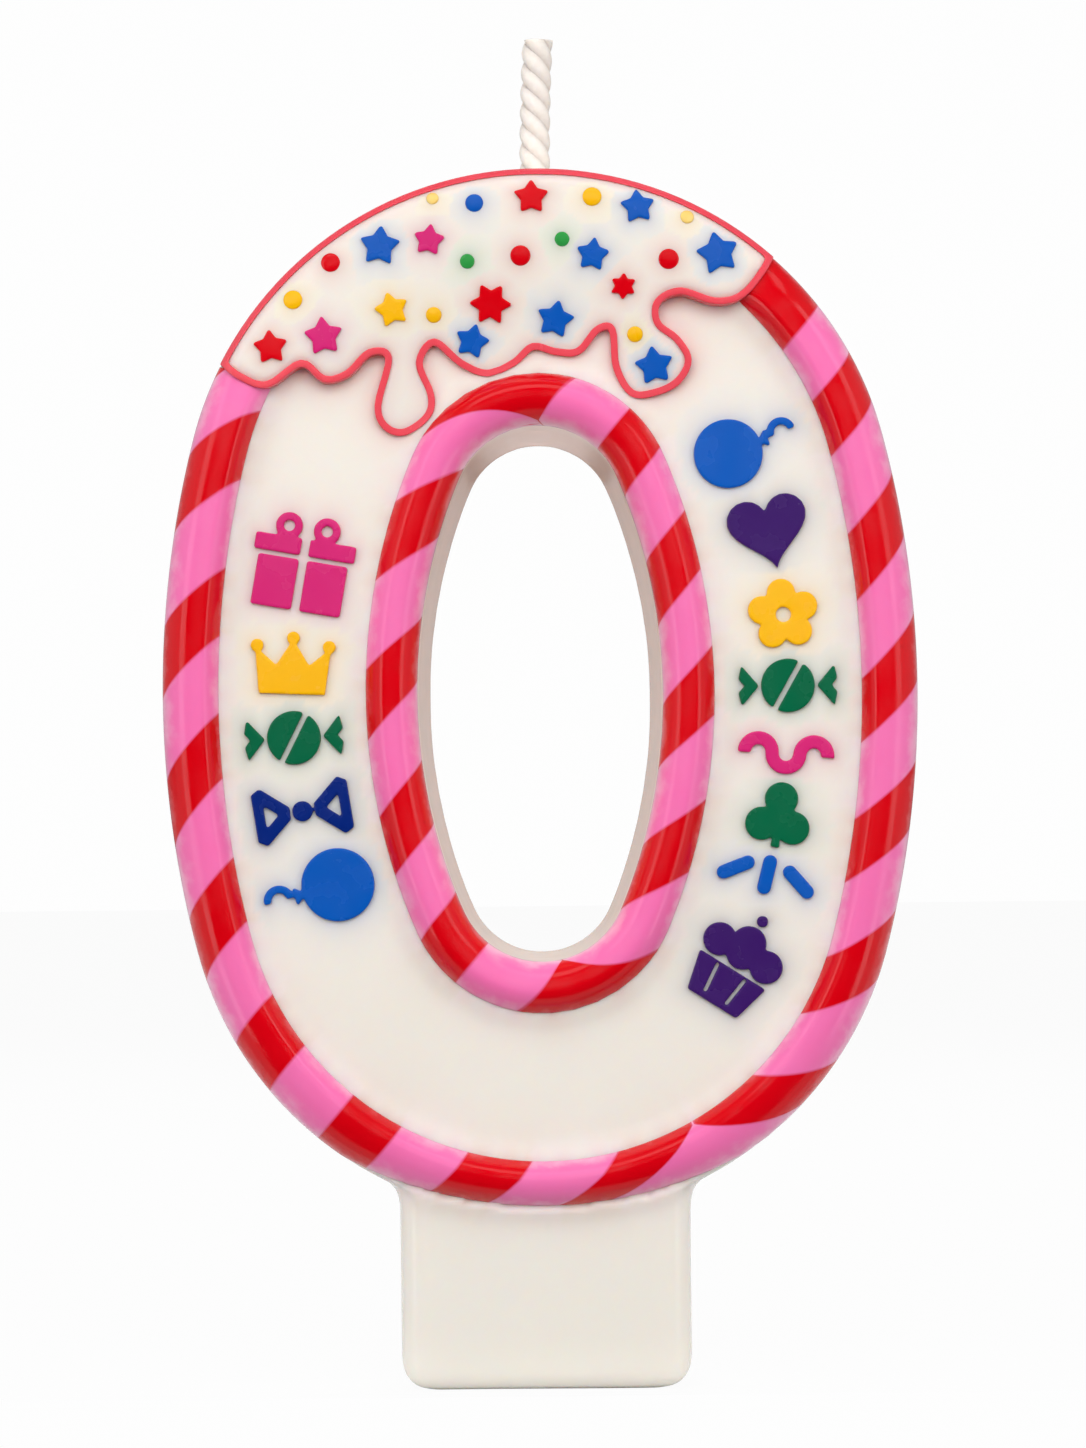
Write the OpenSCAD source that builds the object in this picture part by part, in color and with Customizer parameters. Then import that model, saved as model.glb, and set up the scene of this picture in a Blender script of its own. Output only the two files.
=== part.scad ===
/* [Digit] */
// Width of the digit
digit_w = 53; // [46:0.5:60]
// Height of the digit, without its foot
digit_h = 73.5; // [66:0.5:90]
// How far each side bows out past the round ends
digit_bow = 1.5; // [0.5:0.1:3]
// Depth of the white wax body behind its raised front
body_t = 11.3; // [8:0.1:16]
// Rounding of the body's rear edge
rear_round = 2; // [0.5:0.1:3]

/* [Hole] */
// Width of the hole at the front
hole_w = 17.2; // [13:0.2:19]
// Height of the hole at the front
hole_h = 37.9; // [30:0.1:42]
// How far each side of the hole bows out past its round ends
hole_bow = 2.6; // [1:0.1:4]
// How much the hole narrows on each side towards the rear
hole_draft = 0.7; // [0.1:0.1:1.5]
// Chamfer around the hole at the rear
hole_chamfer = 0.6; // [0.2:0.1:1.5]

/* [Foot] */
// Width of the foot
foot_w = 20.5; // [14:0.5:28]
// Height of the foot below the digit
foot_h = 12.2; // [8:0.2:20]
// Radius of the foot's lower corners, seen from the front
foot_corner_r = 2.2; // [1:0.1:4]
// Rounding of the foot's front and rear edges
foot_edge_r = 1.8; // [0.5:0.1:3]
// Hollow fillet between the foot and the digit
foot_fillet_r = 2; // [1:0.1:4]

/* [Wick] */
// Diameter of the wick
wick_d = 2.2; // [1.4:0.1:3]
// Length of the wick above the digit
wick_free = 10; // [5:0.5:16]
// Depth of the wick's bore in the wax
wick_set = 13; // [6:0.5:15]
// Clearance around the wick in its bore
wick_fit = 0.1; // [0.05:0.05:0.3]
// Height of the wax that creeps up around the wick
collar_h = 0.8; // [0.4:0.1:1.5]
// Width of that wax beside the wick
collar_w = 0.9; // [0.4:0.1:1.5]

/* [Borders] */
// Width of the roll around the digit
outer_bead_w = 4; // [3.6:0.1:5]
// Width of the roll around the hole
inner_bead_w = 3.6; // [3.6:0.1:5]
// How far both rolls stand out from the front
bead_h = 1.7; // [1:0.1:1.7]
// Red stripes around the digit, those under the icing included
outer_stripes = 19; // [12:1:24]
// Red stripes around the hole
inner_stripes = 10; // [6:1:12]
// Share of each pair of stripes that is red
red_share = 0.46; // [0.4:0.02:0.6]
// Slope of the stripes, in degrees from level
stripe_slope = 50; // [35:1:55]
// Least angle between a stripe's edge and its roll, in degrees
stripe_cross = 45; // [40:1:60]

/* [Icing] */
// Thickness of the icing
icing_t = 1.1; // [0.6:0.1:1.5]
// Width of the red line around the icing
outline_w = 0.56; // [0.4:0.02:1]
// How far that line stands out from the front
outline_h = 1; // [0.4:0.1:1.5]
// Gap between the icing and the roll around the hole
icing_gap = 0.15; // [0.1:0.05:0.5]

/* [Decoration] */
// Width of the largest star
star_w = 3; // [2:0.1:3.6]
// How far the stars stand out from the icing
star_t = 0.5; // [0.2:0.1:0.6]
// Diameter of the largest dot
dot_d = 1.5; // [1:0.1:1.8]
// How far the dots stand out from the icing
dot_t = 0.35; // [0.2:0.05:0.6]
// Width of the largest party motif, where the channel has room for it
motif_w = 8.2; // [5:0.1:9]
// How far the party motifs stand out from the front
motif_t = 0.5; // [0.2:0.1:1]
// Least gap between a motif and the rolls beside it
motif_gap = 1; // [0.5:0.1:2]

/* [Hidden] */
$fn = 96;

// Colours
white = [0.95, 0.93, 0.88];
cotton = [0.97, 0.96, 0.93];
red = [0.86, 0.05, 0.10];
pink = [0.98, 0.45, 0.70];
coral = [0.92, 0.27, 0.34];
blue = [0.0, 0.38, 0.80];
navy = [0.06, 0.17, 0.58];
purple = [0.27, 0.10, 0.48];
green = [0.0, 0.46, 0.30];
leaf = [0.22, 0.62, 0.30];
magenta = [0.80, 0.13, 0.55];
yellow = [1.0, 0.74, 0.05];

// The front of the body faces -Y, and the part stands on the foot at z = 0
face_y = (bead_h - body_t) / 2;
digit_z = foot_h + digit_h / 2;
// Cutting tools reach this far past what they cut
over = 1;
// Chords that draw a quarter turn of an edge rounding
round_steps = 4;
// Chords that draw each flank of a roll
roll_steps = 5;
// How much wider the end discs of a turned oval are than arcs that only touch its sides
end_ease = 0.02;

// An oval is [half width, half height, end radius]: two end arcs joined by two flat side arcs
digit = [digit_w / 2, digit_h / 2, digit_w / 2 - digit_bow];
hole = [hole_w / 2, hole_h / 2, hole_w / 2 - hole_bow];

function grown(o, d) = [for (size = o) size + d];
function end_rise(o) = o[1] - o[2];
function side_r(o) = (o[0] * o[0] + pow(end_rise(o), 2) - o[2] * o[2]) / (2 * (o[0] - o[2]));
function side_shift(o) = side_r(o) - o[0];
// Half the angle that a side arc spans
function side_angle(o) = atan2(end_rise(o), side_shift(o));

// Half width of an oval at a height above its centre
function half_width(o, z) =
    abs(z) <= end_rise(o) + o[2] * sin(side_angle(o))
        ? sqrt(pow(side_r(o), 2) - z * z) - side_shift(o)
        : sqrt(o[2] * o[2] - pow(abs(z) - end_rise(o), 2));

// Lengths of an oval's five arcs, from its lowest point round to the right
function arcs(o) =
    let (
        end = o[2] * (90 - side_angle(o)) * PI / 180,
        side = side_r(o) * 2 * side_angle(o) * PI / 180
    )
    [end, side, 2 * end, side, end];
function total(list, n) = n == 0 ? 0 : list[n - 1] + total(list, n - 1);
// Centre, radius and first angle of each of those arcs
function arc_centre(o, k) =
    k % 2 == 0 ? [0, (k == 2 ? 1 : -1) * end_rise(o)] : [(k == 1 ? -1 : 1) * side_shift(o), 0];
function arc_radius(o, k) = k % 2 == 0 ? o[2] : side_r(o);
function arc_start(o, k) = let (a = side_angle(o)) [-90, -a, a, 180 - a, 180 + a][k];

// Point and outward angle at a share of the way round an oval
function around(o, share) =
    let (
        parts = arcs(o),
        s = (share - floor(share)) * total(parts, 5),
        k = [for (i = [0:4]) if (s >= total(parts, i)) i],
        last = k[len(k) - 1],
        angle = arc_start(o, last) + (s - total(parts, last)) / arc_radius(o, last) * 180 / PI
    )
    [arc_centre(o, last) + arc_radius(o, last) * [cos(angle), sin(angle)], angle];

// Works in the plane of the front: x to the right, y up from the digit's centre, z out of the face
module on_face() {
    translate([0, face_y, digit_z])
        rotate([90, 0, 0])
            children();
}

// The part of the plane that an oval's side arcs bound
module side_zone(o) {
    reach = 2 * max(o[0], o[2]);
    c = end_rise(o);
    x = reach * cos(side_angle(o));
    y = c + reach * sin(side_angle(o));
    polygon([[0, c], [x, y], [x, -y], [0, -c], [-x, -y], [-x, y]]);
}

// A turned disc of a radius, with an edge drawn as a list of [distance outside the radius, height]
module disc(radius, edge) {
    first = edge[0];
    last = edge[len(edge) - 1];
    rotate_extrude()
        polygon(concat([[0, first[1]]], [for (p = edge) [radius + p[0], p[1]]], [[0, last[1]]]));
}

// A solid oval whose edge has that profile all the way round, with end discs that just cross its sides
module turned(o, edge) {
    top = edge[0][1];
    rear = edge[len(edge) - 1][1];
    intersection() {
        translate([-side_shift(o), 0])
            disc(side_r(o), edge);
        translate([side_shift(o), 0])
            disc(side_r(o), edge);
        union() {
            translate([0, 0, rear - over])
                linear_extrude(top - rear + 2 * over)
                    side_zone(o);
            for (end = [-1, 1])
                translate([0, end * (end_rise(o) - end_ease)])
                    disc(o[2] + end_ease, edge);
        }
    }
}

// A flat oval
module oval(o) {
    a = side_angle(o);
    reach = 2 * o[2];
    for (turn = [0, 180])
        rotate(turn)
            translate([0, end_rise(o)])
                intersection() {
                    circle(o[2]);
                    polygon([[0, 0], reach * [cos(a), sin(a)], [0, 2 * reach], reach * [-cos(a), sin(a)]]);
                }
    intersection() {
        translate([-side_shift(o), 0])
            circle(side_r(o));
        translate([side_shift(o), 0])
            circle(side_r(o));
        side_zone(o);
    }
}

// A round-topped section of a width and height, standing on the x axis
function crown_r(w, h) = (w * w / 4 + h * h) / (2 * h);
module roll_section(w, h) {
    intersection() {
        translate([0, h - crown_r(w, h)])
            circle(crown_r(w, h));
        translate([-w / 2, 0])
            square([w, h]);
    }
}

// White wax

// Profile of the body's edge, from the front to the rounded rear
body_edge = concat(
    [[0, 0]],
    [for (k = [0:round_steps])
        let (a = 90 * k / round_steps)
        [rear_round * (cos(a) - 1), -body_t + rear_round * (1 - sin(a))]]
);
// Profile of the hole, which narrows to the rear and opens again in a chamfer
hole_edge = [
    [0, over],
    [0, 0],
    [-hole_draft, -body_t + hole_chamfer],
    [hole_chamfer - hole_draft, -body_t],
    [hole_chamfer - hole_draft, -body_t - over]
];

wick_y = face_y + body_t / 2;
wick_floor = digit_z + digit_h / 2 - wick_set;

module foot() {
    // It reaches up to the level of the lower end's centre, inside the digit
    top = digit_z - end_rise(digit);
    intersection() {
        translate([0, face_y + body_t, 0])
            rotate([90, 0, 0])
                linear_extrude(body_t) {
                    translate([-foot_w / 2, foot_corner_r])
                        square([foot_w, top - foot_corner_r]);
                    translate([foot_corner_r - foot_w / 2, 0])
                        square([foot_w - 2 * foot_corner_r, top]);
                    for (side = [-1, 1])
                        translate([side * (foot_w / 2 - foot_corner_r), foot_corner_r])
                            circle(foot_corner_r);
                }
        linear_extrude(top)
            rounded_rectangle(foot_w, body_t, foot_edge_r, face_y);
        translate([-foot_w, 0, 0])
            rotate([90, 0, 90])
                linear_extrude(2 * foot_w)
                    translate([face_y, 0]) {
                        translate([0, foot_edge_r])
                            square([body_t, top - foot_edge_r]);
                        translate([foot_edge_r, 0])
                            square([body_t - 2 * foot_edge_r, top]);
                        for (y = [foot_edge_r, body_t - foot_edge_r])
                            translate([y, foot_edge_r])
                                circle(foot_edge_r);
                    }
    }
}

// A rectangle with round corners, centred on x, with its near side at a given y
module rounded_rectangle(w, d, r, near) {
    translate([-w / 2 + r, near])
        square([w - 2 * r, d]);
    translate([-w / 2, near + r])
        square([w, d - 2 * r]);
    for (x = [-1, 1], y = [near + r, near + d - r])
        translate([x * (w / 2 - r), y])
            circle(r);
}

// Hollow fillets that lead from the foot's sides into the digit, clear of the foot's rounded edges
module foot_fillets() {
    x = foot_w / 2 + foot_fillet_r;
    y = -end_rise(digit) - sqrt(pow(digit[2] + foot_fillet_r, 2) - x * x);
    on_face()
        translate([0, 0, foot_edge_r - body_t])
            linear_extrude(body_t - 2 * foot_edge_r)
                for (side = [0, 1])
                    mirror([side, 0])
                        difference() {
                            polygon([[foot_w / 2, y], [x, y], [0, -end_rise(digit)]]);
                            translate([x, y])
                                circle(foot_fillet_r);
                        }
}

module wax_body() {
    bore_r = wick_d / 2 + wick_fit;
    color(white)
        difference() {
            union() {
                on_face()
                    turned(digit, body_edge);
                foot();
                foot_fillets();
                translate([0, wick_y, digit_z + digit_h / 2 - collar_h])
                    cylinder(r1 = bore_r + 2 * collar_w, r2 = bore_r + collar_w / 3, h = 2 * collar_h);
            }
            on_face()
                turned(hole, hole_edge);
            translate([0, wick_y, wick_floor])
                cylinder(r = bore_r, h = wick_set + wick_free);
        }
}

// The wick stands on the floor of its bore
module wick() {
    color(cotton)
        translate([0, wick_y, wick_floor])
            cylinder(d = wick_d, h = wick_set + wick_free);
}

// Icing

// Lower edge of the icing from left to right, as shares of the digit's half width and half height
drip_edge = [
    [-1.20, 0.72], [-0.90, 0.67], [-0.79, 0.61], [-0.71, 0.59], [-0.62, 0.63], [-0.56, 0.60], [-0.50, 0.61],
    [-0.44, 0.65], [-0.39, 0.64], [-0.42, 0.55], [-0.40, 0.51], [-0.35, 0.50], [-0.29, 0.53], [-0.28, 0.57],
    [-0.31, 0.63], [-0.27, 0.67], [-0.20, 0.63], [-0.13, 0.61], [-0.06, 0.63], [-0.01, 0.66], [0.05, 0.65],
    [0.11, 0.65], [0.16, 0.69], [0.20, 0.69], [0.21, 0.62], [0.25, 0.57], [0.31, 0.57], [0.37, 0.59],
    [0.40, 0.63], [0.37, 0.67], [0.32, 0.70], [0.32, 0.74], [0.38, 0.76], [0.47, 0.74], [0.54, 0.75],
    [0.60, 0.80], [0.66, 0.88], [0.80, 1.00]
];
drip_steps = 5;

// A smooth curve through points, which bends at each one as its neighbours ask
function curve_point(p, i, t) =
    let (a = p[max(i - 1, 0)], b = p[i], c = p[i + 1], d = p[min(i + 2, len(p) - 1)])
    b + t * ((c - a) / 2 + t * (a - 2.5 * b + 2 * c - d / 2 + t * (1.5 * (b - c) + (d - a) / 2)));
function smooth(p) = concat(
    [for (i = [0:len(p) - 2], k = [0:drip_steps - 1]) curve_point(p, i, k / drip_steps)],
    [p[len(p) - 1]]
);

function at(share) = [share[0] * digit[0], share[1] * digit[1]];

// All of the plane above the icing's lower edge, grown or shrunk by a distance
module above_drips(d) {
    edge = [for (p = smooth(drip_edge)) at(p)];
    offset(r = d)
        polygon(concat(edge, [at([1.2, 1.2]), at([-1.2, 1.2])]));
}

// The icing and its line together, or the icing alone, clear of the roll around the hole
module iced_zone(line) {
    difference() {
        intersection() {
            oval(grown(digit, line ? 0 : -outline_w));
            above_drips(outline_w * (line ? 0.5 : -0.5));
        }
        oval(grown(hole, inner_bead_w + icing_gap + (line ? 0 : outline_w)));
    }
}

module icing_layer() {
    color(white)
        on_face()
            linear_extrude(icing_t)
                iced_zone(false);
}

module icing_outline() {
    color(coral)
        on_face()
            linear_extrude(outline_h)
                difference() {
                    iced_zone(true);
                    iced_zone(false);
                }
}

// Striped rolls

// Where the first red stripe of each roll has its middle, as a share of the way round from the lowest point
outer_phase = 0.042;
inner_phase = 0.04;

// Signed angle from one line to another, between -90 and 90 degrees
function turn_to(from, to) = let (d = to - from) d - 180 * round(d / 180);
// Angle at which two stripes' edges may lean towards each other and still not meet inside the roll
function clear_cross(o, w, count) =
    atan2(w, min(red_share, 1 - red_share) * total(arcs(o), 5) / count * (1 - w / 2 / o[2]));
// Direction of a stripe's edge, out of the roll, where the roll's outward angle is given
function edge_angle(outward, least) =
    let (
        along = outward + 90,
        lean = turn_to(along, stripe_slope),
        held = abs(lean) < least ? -least : lean
    )
    along + held + (held > 0 ? 180 : 0);

// The ends of a stripe's edge, a little way inside and outside a roll of a width
function stripe_cut(o, w, share, least) =
    let (
        place = around(o, share),
        a = edge_angle(place[1], least),
        along = [cos(a), sin(a)],
        slant = cos(a - place[1])
    )
    [place[0] - along * 0.75 * w / slant, place[0] + along * 0.75 * w / slant];

// How far along a line from a[0] to a[1], as a share, it meets the line from b[0] to b[1]
function meets(a, b) = cross(b[0] - a[0], b[1] - b[0]) / cross(a[1] - a[0], b[1] - b[0]);

// One stripe's share of the plane, from one edge to the next, ended where the two edges meet
module stripe(o, w, from, to, least) {
    a = stripe_cut(o, w, from, least);
    b = stripe_cut(o, w, to, least);
    share = meets(a, b);
    crossing = share > 0 && share < 1;
    inside = crossing ? [a[0] + share * (a[1] - a[0])] : [b[0], a[0]];
    polygon(concat([a[1], b[1]], inside));
}

// Every stripe of one colour around a roll, where lead and span are shares of a pair of stripes
module stripes(o, w, count, phase, lead, span) {
    least = max(stripe_cross, clear_cross(o, w, count));
    for (k = [0:count - 1]) {
        from = phase + (k + lead) / count;
        stripe(o, w, from, from + span / count, least);
    }
}

// Profile of a roll's flank from its crown down to the face, as [distance from the middle, height]
function flank(w) =
    let (r = crown_r(w, bead_h), whole = asin(w / 2 / r))
    [for (k = [0:roll_steps])
        let (a = whole * (k + 0.5) / (roll_steps + 0.5))
        [r * sin(a), k == 0 ? bead_h : bead_h + r * (cos(a) - 1)]];

// The share of a roll around an oval that lies over a flat pattern
module roll(o, w) {
    side = flank(w);
    inside = [for (p = side) [-p[0], p[1]]];
    intersection() {
        difference() {
            turned(o, side);
            turned(o, concat([inside[0] + [0, over]], inside, [[-w / 2, -over]]));
        }
        translate([0, 0, -over])
            linear_extrude(bead_h + 2 * over)
                children();
    }
}

outer_line = grown(digit, -outer_bead_w / 2);
inner_line = grown(hole, inner_bead_w / 2);

module outer_border(lead, span) {
    on_face()
        roll(outer_line, outer_bead_w)
            difference() {
                stripes(outer_line, outer_bead_w, outer_stripes, outer_phase, lead, span);
                above_drips(outline_w / 2);
            }
}

module inner_border(lead, span) {
    on_face()
        roll(inner_line, inner_bead_w)
            stripes(inner_line, inner_bead_w, inner_stripes, inner_phase, lead, span);
}

module outer_border_red() {
    color(red)
        outer_border(-red_share / 2, red_share);
}

module outer_border_pink() {
    color(pink)
        outer_border(red_share / 2, 1 - red_share);
}

module inner_border_red() {
    color(red)
        inner_border(-red_share / 2, red_share);
}

module inner_border_pink() {
    color(pink)
        inner_border(red_share / 2, 1 - red_share);
}

// Stars and dots on the icing

// Waist of a star as a share of its points' radius
waist_share = 0.58;

module star(w, points, turn) {
    rotate(turn)
        linear_extrude(star_t)
            polygon([for (k = [0:2 * points - 1])
                w / 2 * (k % 2 == 0 ? 1 : waist_share) * [sin(180 * k / points), cos(180 * k / points)]]);
}

// Each star is [place across, place up, width, points, turn]: its place is in shares as in the icing's
// edge, and its width is a share of the largest star's
module stars(list) {
    on_face()
        translate([0, 0, icing_t])
            for (s = list)
                translate(at(s))
                    star(s[2] * star_w, s[3], s[4]);
}

module stars_blue() {
    color(blue)
        stars([
            [0.27, 0.92, 0.80, 5, 5],
            [-0.41, 0.85, 0.93, 5, -5],
            [0.48, 0.83, 1.00, 5, 12],
            [0.15, 0.83, 0.77, 5, -8],
            [0.05, 0.71, 0.87, 5, -12],
            [-0.17, 0.67, 0.80, 5, -15],
            [0.31, 0.62, 0.90, 5, 8]
        ]);
}

module stars_red() {
    color(red)
        stars([
            [-0.01, 0.94, 0.80, 5, 0],
            [0.23, 0.77, 0.60, 6, -3],
            [-0.12, 0.74, 0.97, 6, 27],
            [-0.70, 0.66, 0.80, 5, 5]
        ]);
}

module stars_pink() {
    color(magenta)
        stars([[-0.28, 0.86, 0.73, 5, -8], [-0.56, 0.68, 0.90, 5, 6]]);
}

module stars_yellow() {
    color(yellow)
        stars([[-0.38, 0.73, 0.80, 5, 15]]);
}

// Each dot is [place across, place up, share of the largest dot's diameter]
module dots(list) {
    on_face()
        translate([0, 0, icing_t])
            for (dot = list)
                translate(at(dot))
                    rotate_extrude()
                        intersection() {
                            roll_section(dot[2] * dot_d, dot_t);
                            square(dot_d);
                        }
}

module dots_red() {
    color(red)
        dots([[-0.04, 0.83, 1.00], [-0.54, 0.82, 0.93], [0.35, 0.82, 1.00]]);
}

module dots_yellow() {
    color(yellow)
        dots([
            [0.15, 0.94, 0.93],
            [0.40, 0.90, 0.60],
            [-0.27, 0.94, 0.53],
            [-0.64, 0.75, 0.93],
            [-0.27, 0.72, 0.73],
            [0.26, 0.68, 0.73]
        ]);
}

module dots_green() {
    color(leaf)
        dots([[0.07, 0.86, 0.67], [-0.18, 0.82, 0.67]]);
}

module dots_blue() {
    color(blue)
        dots([[-0.16, 0.93, 0.87]]);
}

// Party motifs in the channel between the rolls

channel_out = grown(digit, -outer_bead_w);
channel_in = grown(hole, inner_bead_w);
function channel_x(z) = (half_width(channel_out, z) + half_width(channel_in, z)) / 2;
function channel_w(z) = half_width(channel_out, z) - half_width(channel_in, z) - 2 * motif_gap;
// Lean of the channel's middle at a height, measured over this much height
lean_step = 2;
function channel_lean(z) = atan2(channel_x(z + lean_step) - channel_x(z - lean_step), 2 * lean_step);

// Sets a motif in the middle of a limb at a share of the digit's half height; $w is its width, a share
// of the largest motif's
module in_channel(side, level, share) {
    z = level * digit[1];
    $w = share * min(motif_w, channel_w(z));
    on_face()
        translate([side * channel_x(z), z])
            rotate(-side * channel_lean(z))
                linear_extrude(motif_t)
                    children();
}

// A box with a ribbon gap, a lid and two loops of ribbon
module gift_shape() {
    gap = 0.09 * $w;
    for (side = [0, 1])
        mirror([side, 0]) {
            translate([gap / 2, -0.46 * $w])
                square([0.40 * $w, 0.50 * $w]);
            translate([gap / 2, 0.09 * $w])
                square([0.455 * $w, 0.16 * $w]);
            translate([0.19 * $w, 0.36 * $w])
                difference() {
                    circle(0.13 * $w);
                    circle(0.06 * $w);
                }
        }
}

// A crown with three points, each with a ball
module crown_shape() {
    polygon($w * [
        [-0.40, -0.36], [0.40, -0.36], [0.46, 0.20], [0.20, -0.02],
        [0, 0.30], [-0.20, -0.02], [-0.46, 0.20]
    ]);
    for (tip = [[-0.44, 0.22], [0, 0.32], [0.44, 0.22]])
        translate($w * tip)
            circle(0.075 * $w);
}

// A wrapped sweet: a ball with a gap across it and a fan of paper at each end
module sweet_shape() {
    difference() {
        circle(0.27 * $w);
        rotate(60)
            square([0.7 * $w, 0.06 * $w], center = true);
    }
    for (side = [0, 1])
        mirror([side, 0])
            polygon($w * [[0.30, 0], [0.47, 0.20], [0.50, 0.07], [0.44, 0], [0.50, -0.07], [0.47, -0.20]]);
}

// A bow of two loops with a knot between
module bow_shape() {
    circle(0.10 * $w);
    for (side = [0, 1])
        mirror([side, 0])
            difference() {
                polygon($w * [
                    [0.13, 0.06], [0.40, 0.29], [0.49, 0.24],
                    [0.49, -0.24], [0.40, -0.29], [0.13, -0.06]
                ]);
                polygon($w * [[0.24, 0], [0.39, 0.13], [0.39, -0.13]]);
            }
}

// A balloon with its knot and a curl of string
module balloon_shape() {
    translate([0.16 * $w, 0])
        circle(0.31 * $w);
    polygon($w * [[-0.13, 0], [-0.22, 0.08], [-0.22, -0.08]]);
    translate([-0.36 * $w, 0])
        difference() {
            circle(0.13 * $w);
            circle(0.07 * $w);
            translate([-0.2 * $w, -0.2 * $w])
                square([0.4 * $w, 0.2 * $w]);
        }
}

// A heart, along the usual curve of sines and cosines, which is 32 units wide and 29 high
function heart_point(a) = [16 * pow(sin(a), 3), 13 * cos(a) - 5 * cos(2 * a) - 2 * cos(3 * a) - cos(4 * a)];
module heart_shape() {
    translate([0, 0.08 * $w])
        polygon([for (a = [0:10:350]) $w / 32 * heart_point(a)]);
}

// A flower of five petals with an open middle
module flower_shape() {
    difference() {
        union() {
            circle(0.26 * $w);
            for (k = [0:4])
                rotate(90 + 72 * k)
                    translate([0.30 * $w, 0])
                        circle(0.19 * $w);
        }
        circle(0.11 * $w);
    }
}

// A ribbon of three half turns
module streamer_shape() {
    pitch = 0.29 * $w;
    band = 0.13 * $w;
    lap = 0.01 * $w;
    for (k = [-1:1])
        translate([k * pitch, 0])
            difference() {
                circle((pitch + band) / 2);
                circle((pitch - band) / 2);
                translate([-pitch, k == 0 ? lap : -2 * pitch - lap])
                    square([2 * pitch, 2 * pitch]);
            }
}

// A clover of three leaves on a stem
module clover_shape() {
    for (k = [0:2])
        rotate(90 + 120 * k)
            translate([0.25 * $w, 0])
                circle(0.225 * $w);
    polygon($w * [[0, 0.05], [-0.05, -0.42], [0.07, -0.42]]);
}

// Three short rods of sugar
module sprinkles_shape() {
    half = 0.13 * $w;
    r = 0.065 * $w;
    for (k = [-1:1])
        translate([0.32 * $w * k, 0])
            rotate(55 * k) {
                square([2 * r, 2 * half], center = true);
                for (end = [-1, 1])
                    translate([0, end * half])
                        circle(r);
            }
}

// A cake in a pleated case, with a round top and a cherry
module cupcake_shape() {
    difference() {
        polygon($w * [[-0.26, -0.42], [0.26, -0.42], [0.35, -0.06], [-0.35, -0.06]]);
        for (x = [-0.13, 0.13])
            translate($w * [x, -0.22])
                rotate(-50 * x)
                    square($w * [0.04, 0.30], center = true);
    }
    for (x = [-0.25, 0, 0.25])
        translate($w * [x, 0.12])
            circle(0.15 * $w);
    translate([0, 0.22 * $w])
        circle(0.16 * $w);
    translate([0, 0.46 * $w])
        circle(0.05 * $w);
}

module left_gift() {
    color(magenta)
        in_channel(-1, 0.25, 0.86)
            gift_shape();
}

module left_crown() {
    color(yellow)
        in_channel(-1, 0.06, 0.70)
            crown_shape();
}

module left_sweet() {
    color(green)
        in_channel(-1, -0.08, 0.84)
            sweet_shape();
}

module left_bow() {
    color(navy)
        in_channel(-1, -0.22, 0.84)
            bow_shape();
}

module left_balloon() {
    color(blue)
        in_channel(-1, -0.37, 1)
            balloon_shape();
}

module right_balloon() {
    color(blue)
        in_channel(1, 0.465, 0.94)
            mirror([1, 0])
                balloon_shape();
}

module right_heart() {
    color(purple)
        in_channel(1, 0.30, 0.68)
            heart_shape();
}

module right_flower() {
    color(yellow)
        in_channel(1, 0.145, 0.62)
            flower_shape();
}

module right_sweet() {
    color(green)
        in_channel(1, 0.01, 0.84)
            sweet_shape();
}

module right_streamer() {
    color(magenta)
        in_channel(1, -0.12, 0.82)
            streamer_shape();
}

module right_clover() {
    color(green)
        in_channel(1, -0.24, 0.62)
            clover_shape();
}

module right_sprinkles() {
    color(blue)
        in_channel(1, -0.35, 0.86)
            sprinkles_shape();
}

module right_cupcake() {
    color(purple)
        in_channel(1, -0.52, 0.93)
            cupcake_shape();
}

wax_body();
wick();
icing_layer();
icing_outline();
outer_border_red();
outer_border_pink();
inner_border_red();
inner_border_pink();
stars_blue();
stars_red();
stars_pink();
stars_yellow();
dots_red();
dots_yellow();
dots_green();
dots_blue();
left_gift();
left_crown();
left_sweet();
left_bow();
left_balloon();
right_balloon();
right_heart();
right_flower();
right_sweet();
right_streamer();
right_clover();
right_sprinkles();
right_cupcake();
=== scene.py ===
"""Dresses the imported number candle: wax, striped rolls, icing with sprinkles, motifs and a wick."""

from __future__ import annotations

import logging
import math
from dataclasses import dataclass
from enum import Enum
from typing import Callable

import bmesh
import bpy
from mathutils import Matrix, Vector, kdtree, noise

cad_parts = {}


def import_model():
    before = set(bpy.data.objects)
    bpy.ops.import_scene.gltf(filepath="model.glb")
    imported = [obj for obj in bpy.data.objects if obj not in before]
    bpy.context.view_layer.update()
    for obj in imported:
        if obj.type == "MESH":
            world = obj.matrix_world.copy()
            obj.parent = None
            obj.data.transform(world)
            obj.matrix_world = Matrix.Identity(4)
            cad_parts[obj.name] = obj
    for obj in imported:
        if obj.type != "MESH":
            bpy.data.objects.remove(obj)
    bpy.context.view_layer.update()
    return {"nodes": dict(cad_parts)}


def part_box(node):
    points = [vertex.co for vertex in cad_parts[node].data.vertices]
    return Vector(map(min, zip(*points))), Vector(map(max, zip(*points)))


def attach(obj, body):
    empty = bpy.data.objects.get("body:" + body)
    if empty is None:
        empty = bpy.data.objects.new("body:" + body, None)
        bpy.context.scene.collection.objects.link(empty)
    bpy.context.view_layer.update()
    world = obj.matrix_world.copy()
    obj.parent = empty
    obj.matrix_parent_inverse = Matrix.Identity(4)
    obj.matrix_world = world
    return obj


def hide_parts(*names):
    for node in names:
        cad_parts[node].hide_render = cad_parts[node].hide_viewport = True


Colour = tuple[float, float, float]
Place = tuple[float, float, float]
Pair = tuple[float, float]
Move = Callable[[Vector], Vector]
Shape = bmesh.types.BMesh
Socket = bpy.types.NodeSocket

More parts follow.
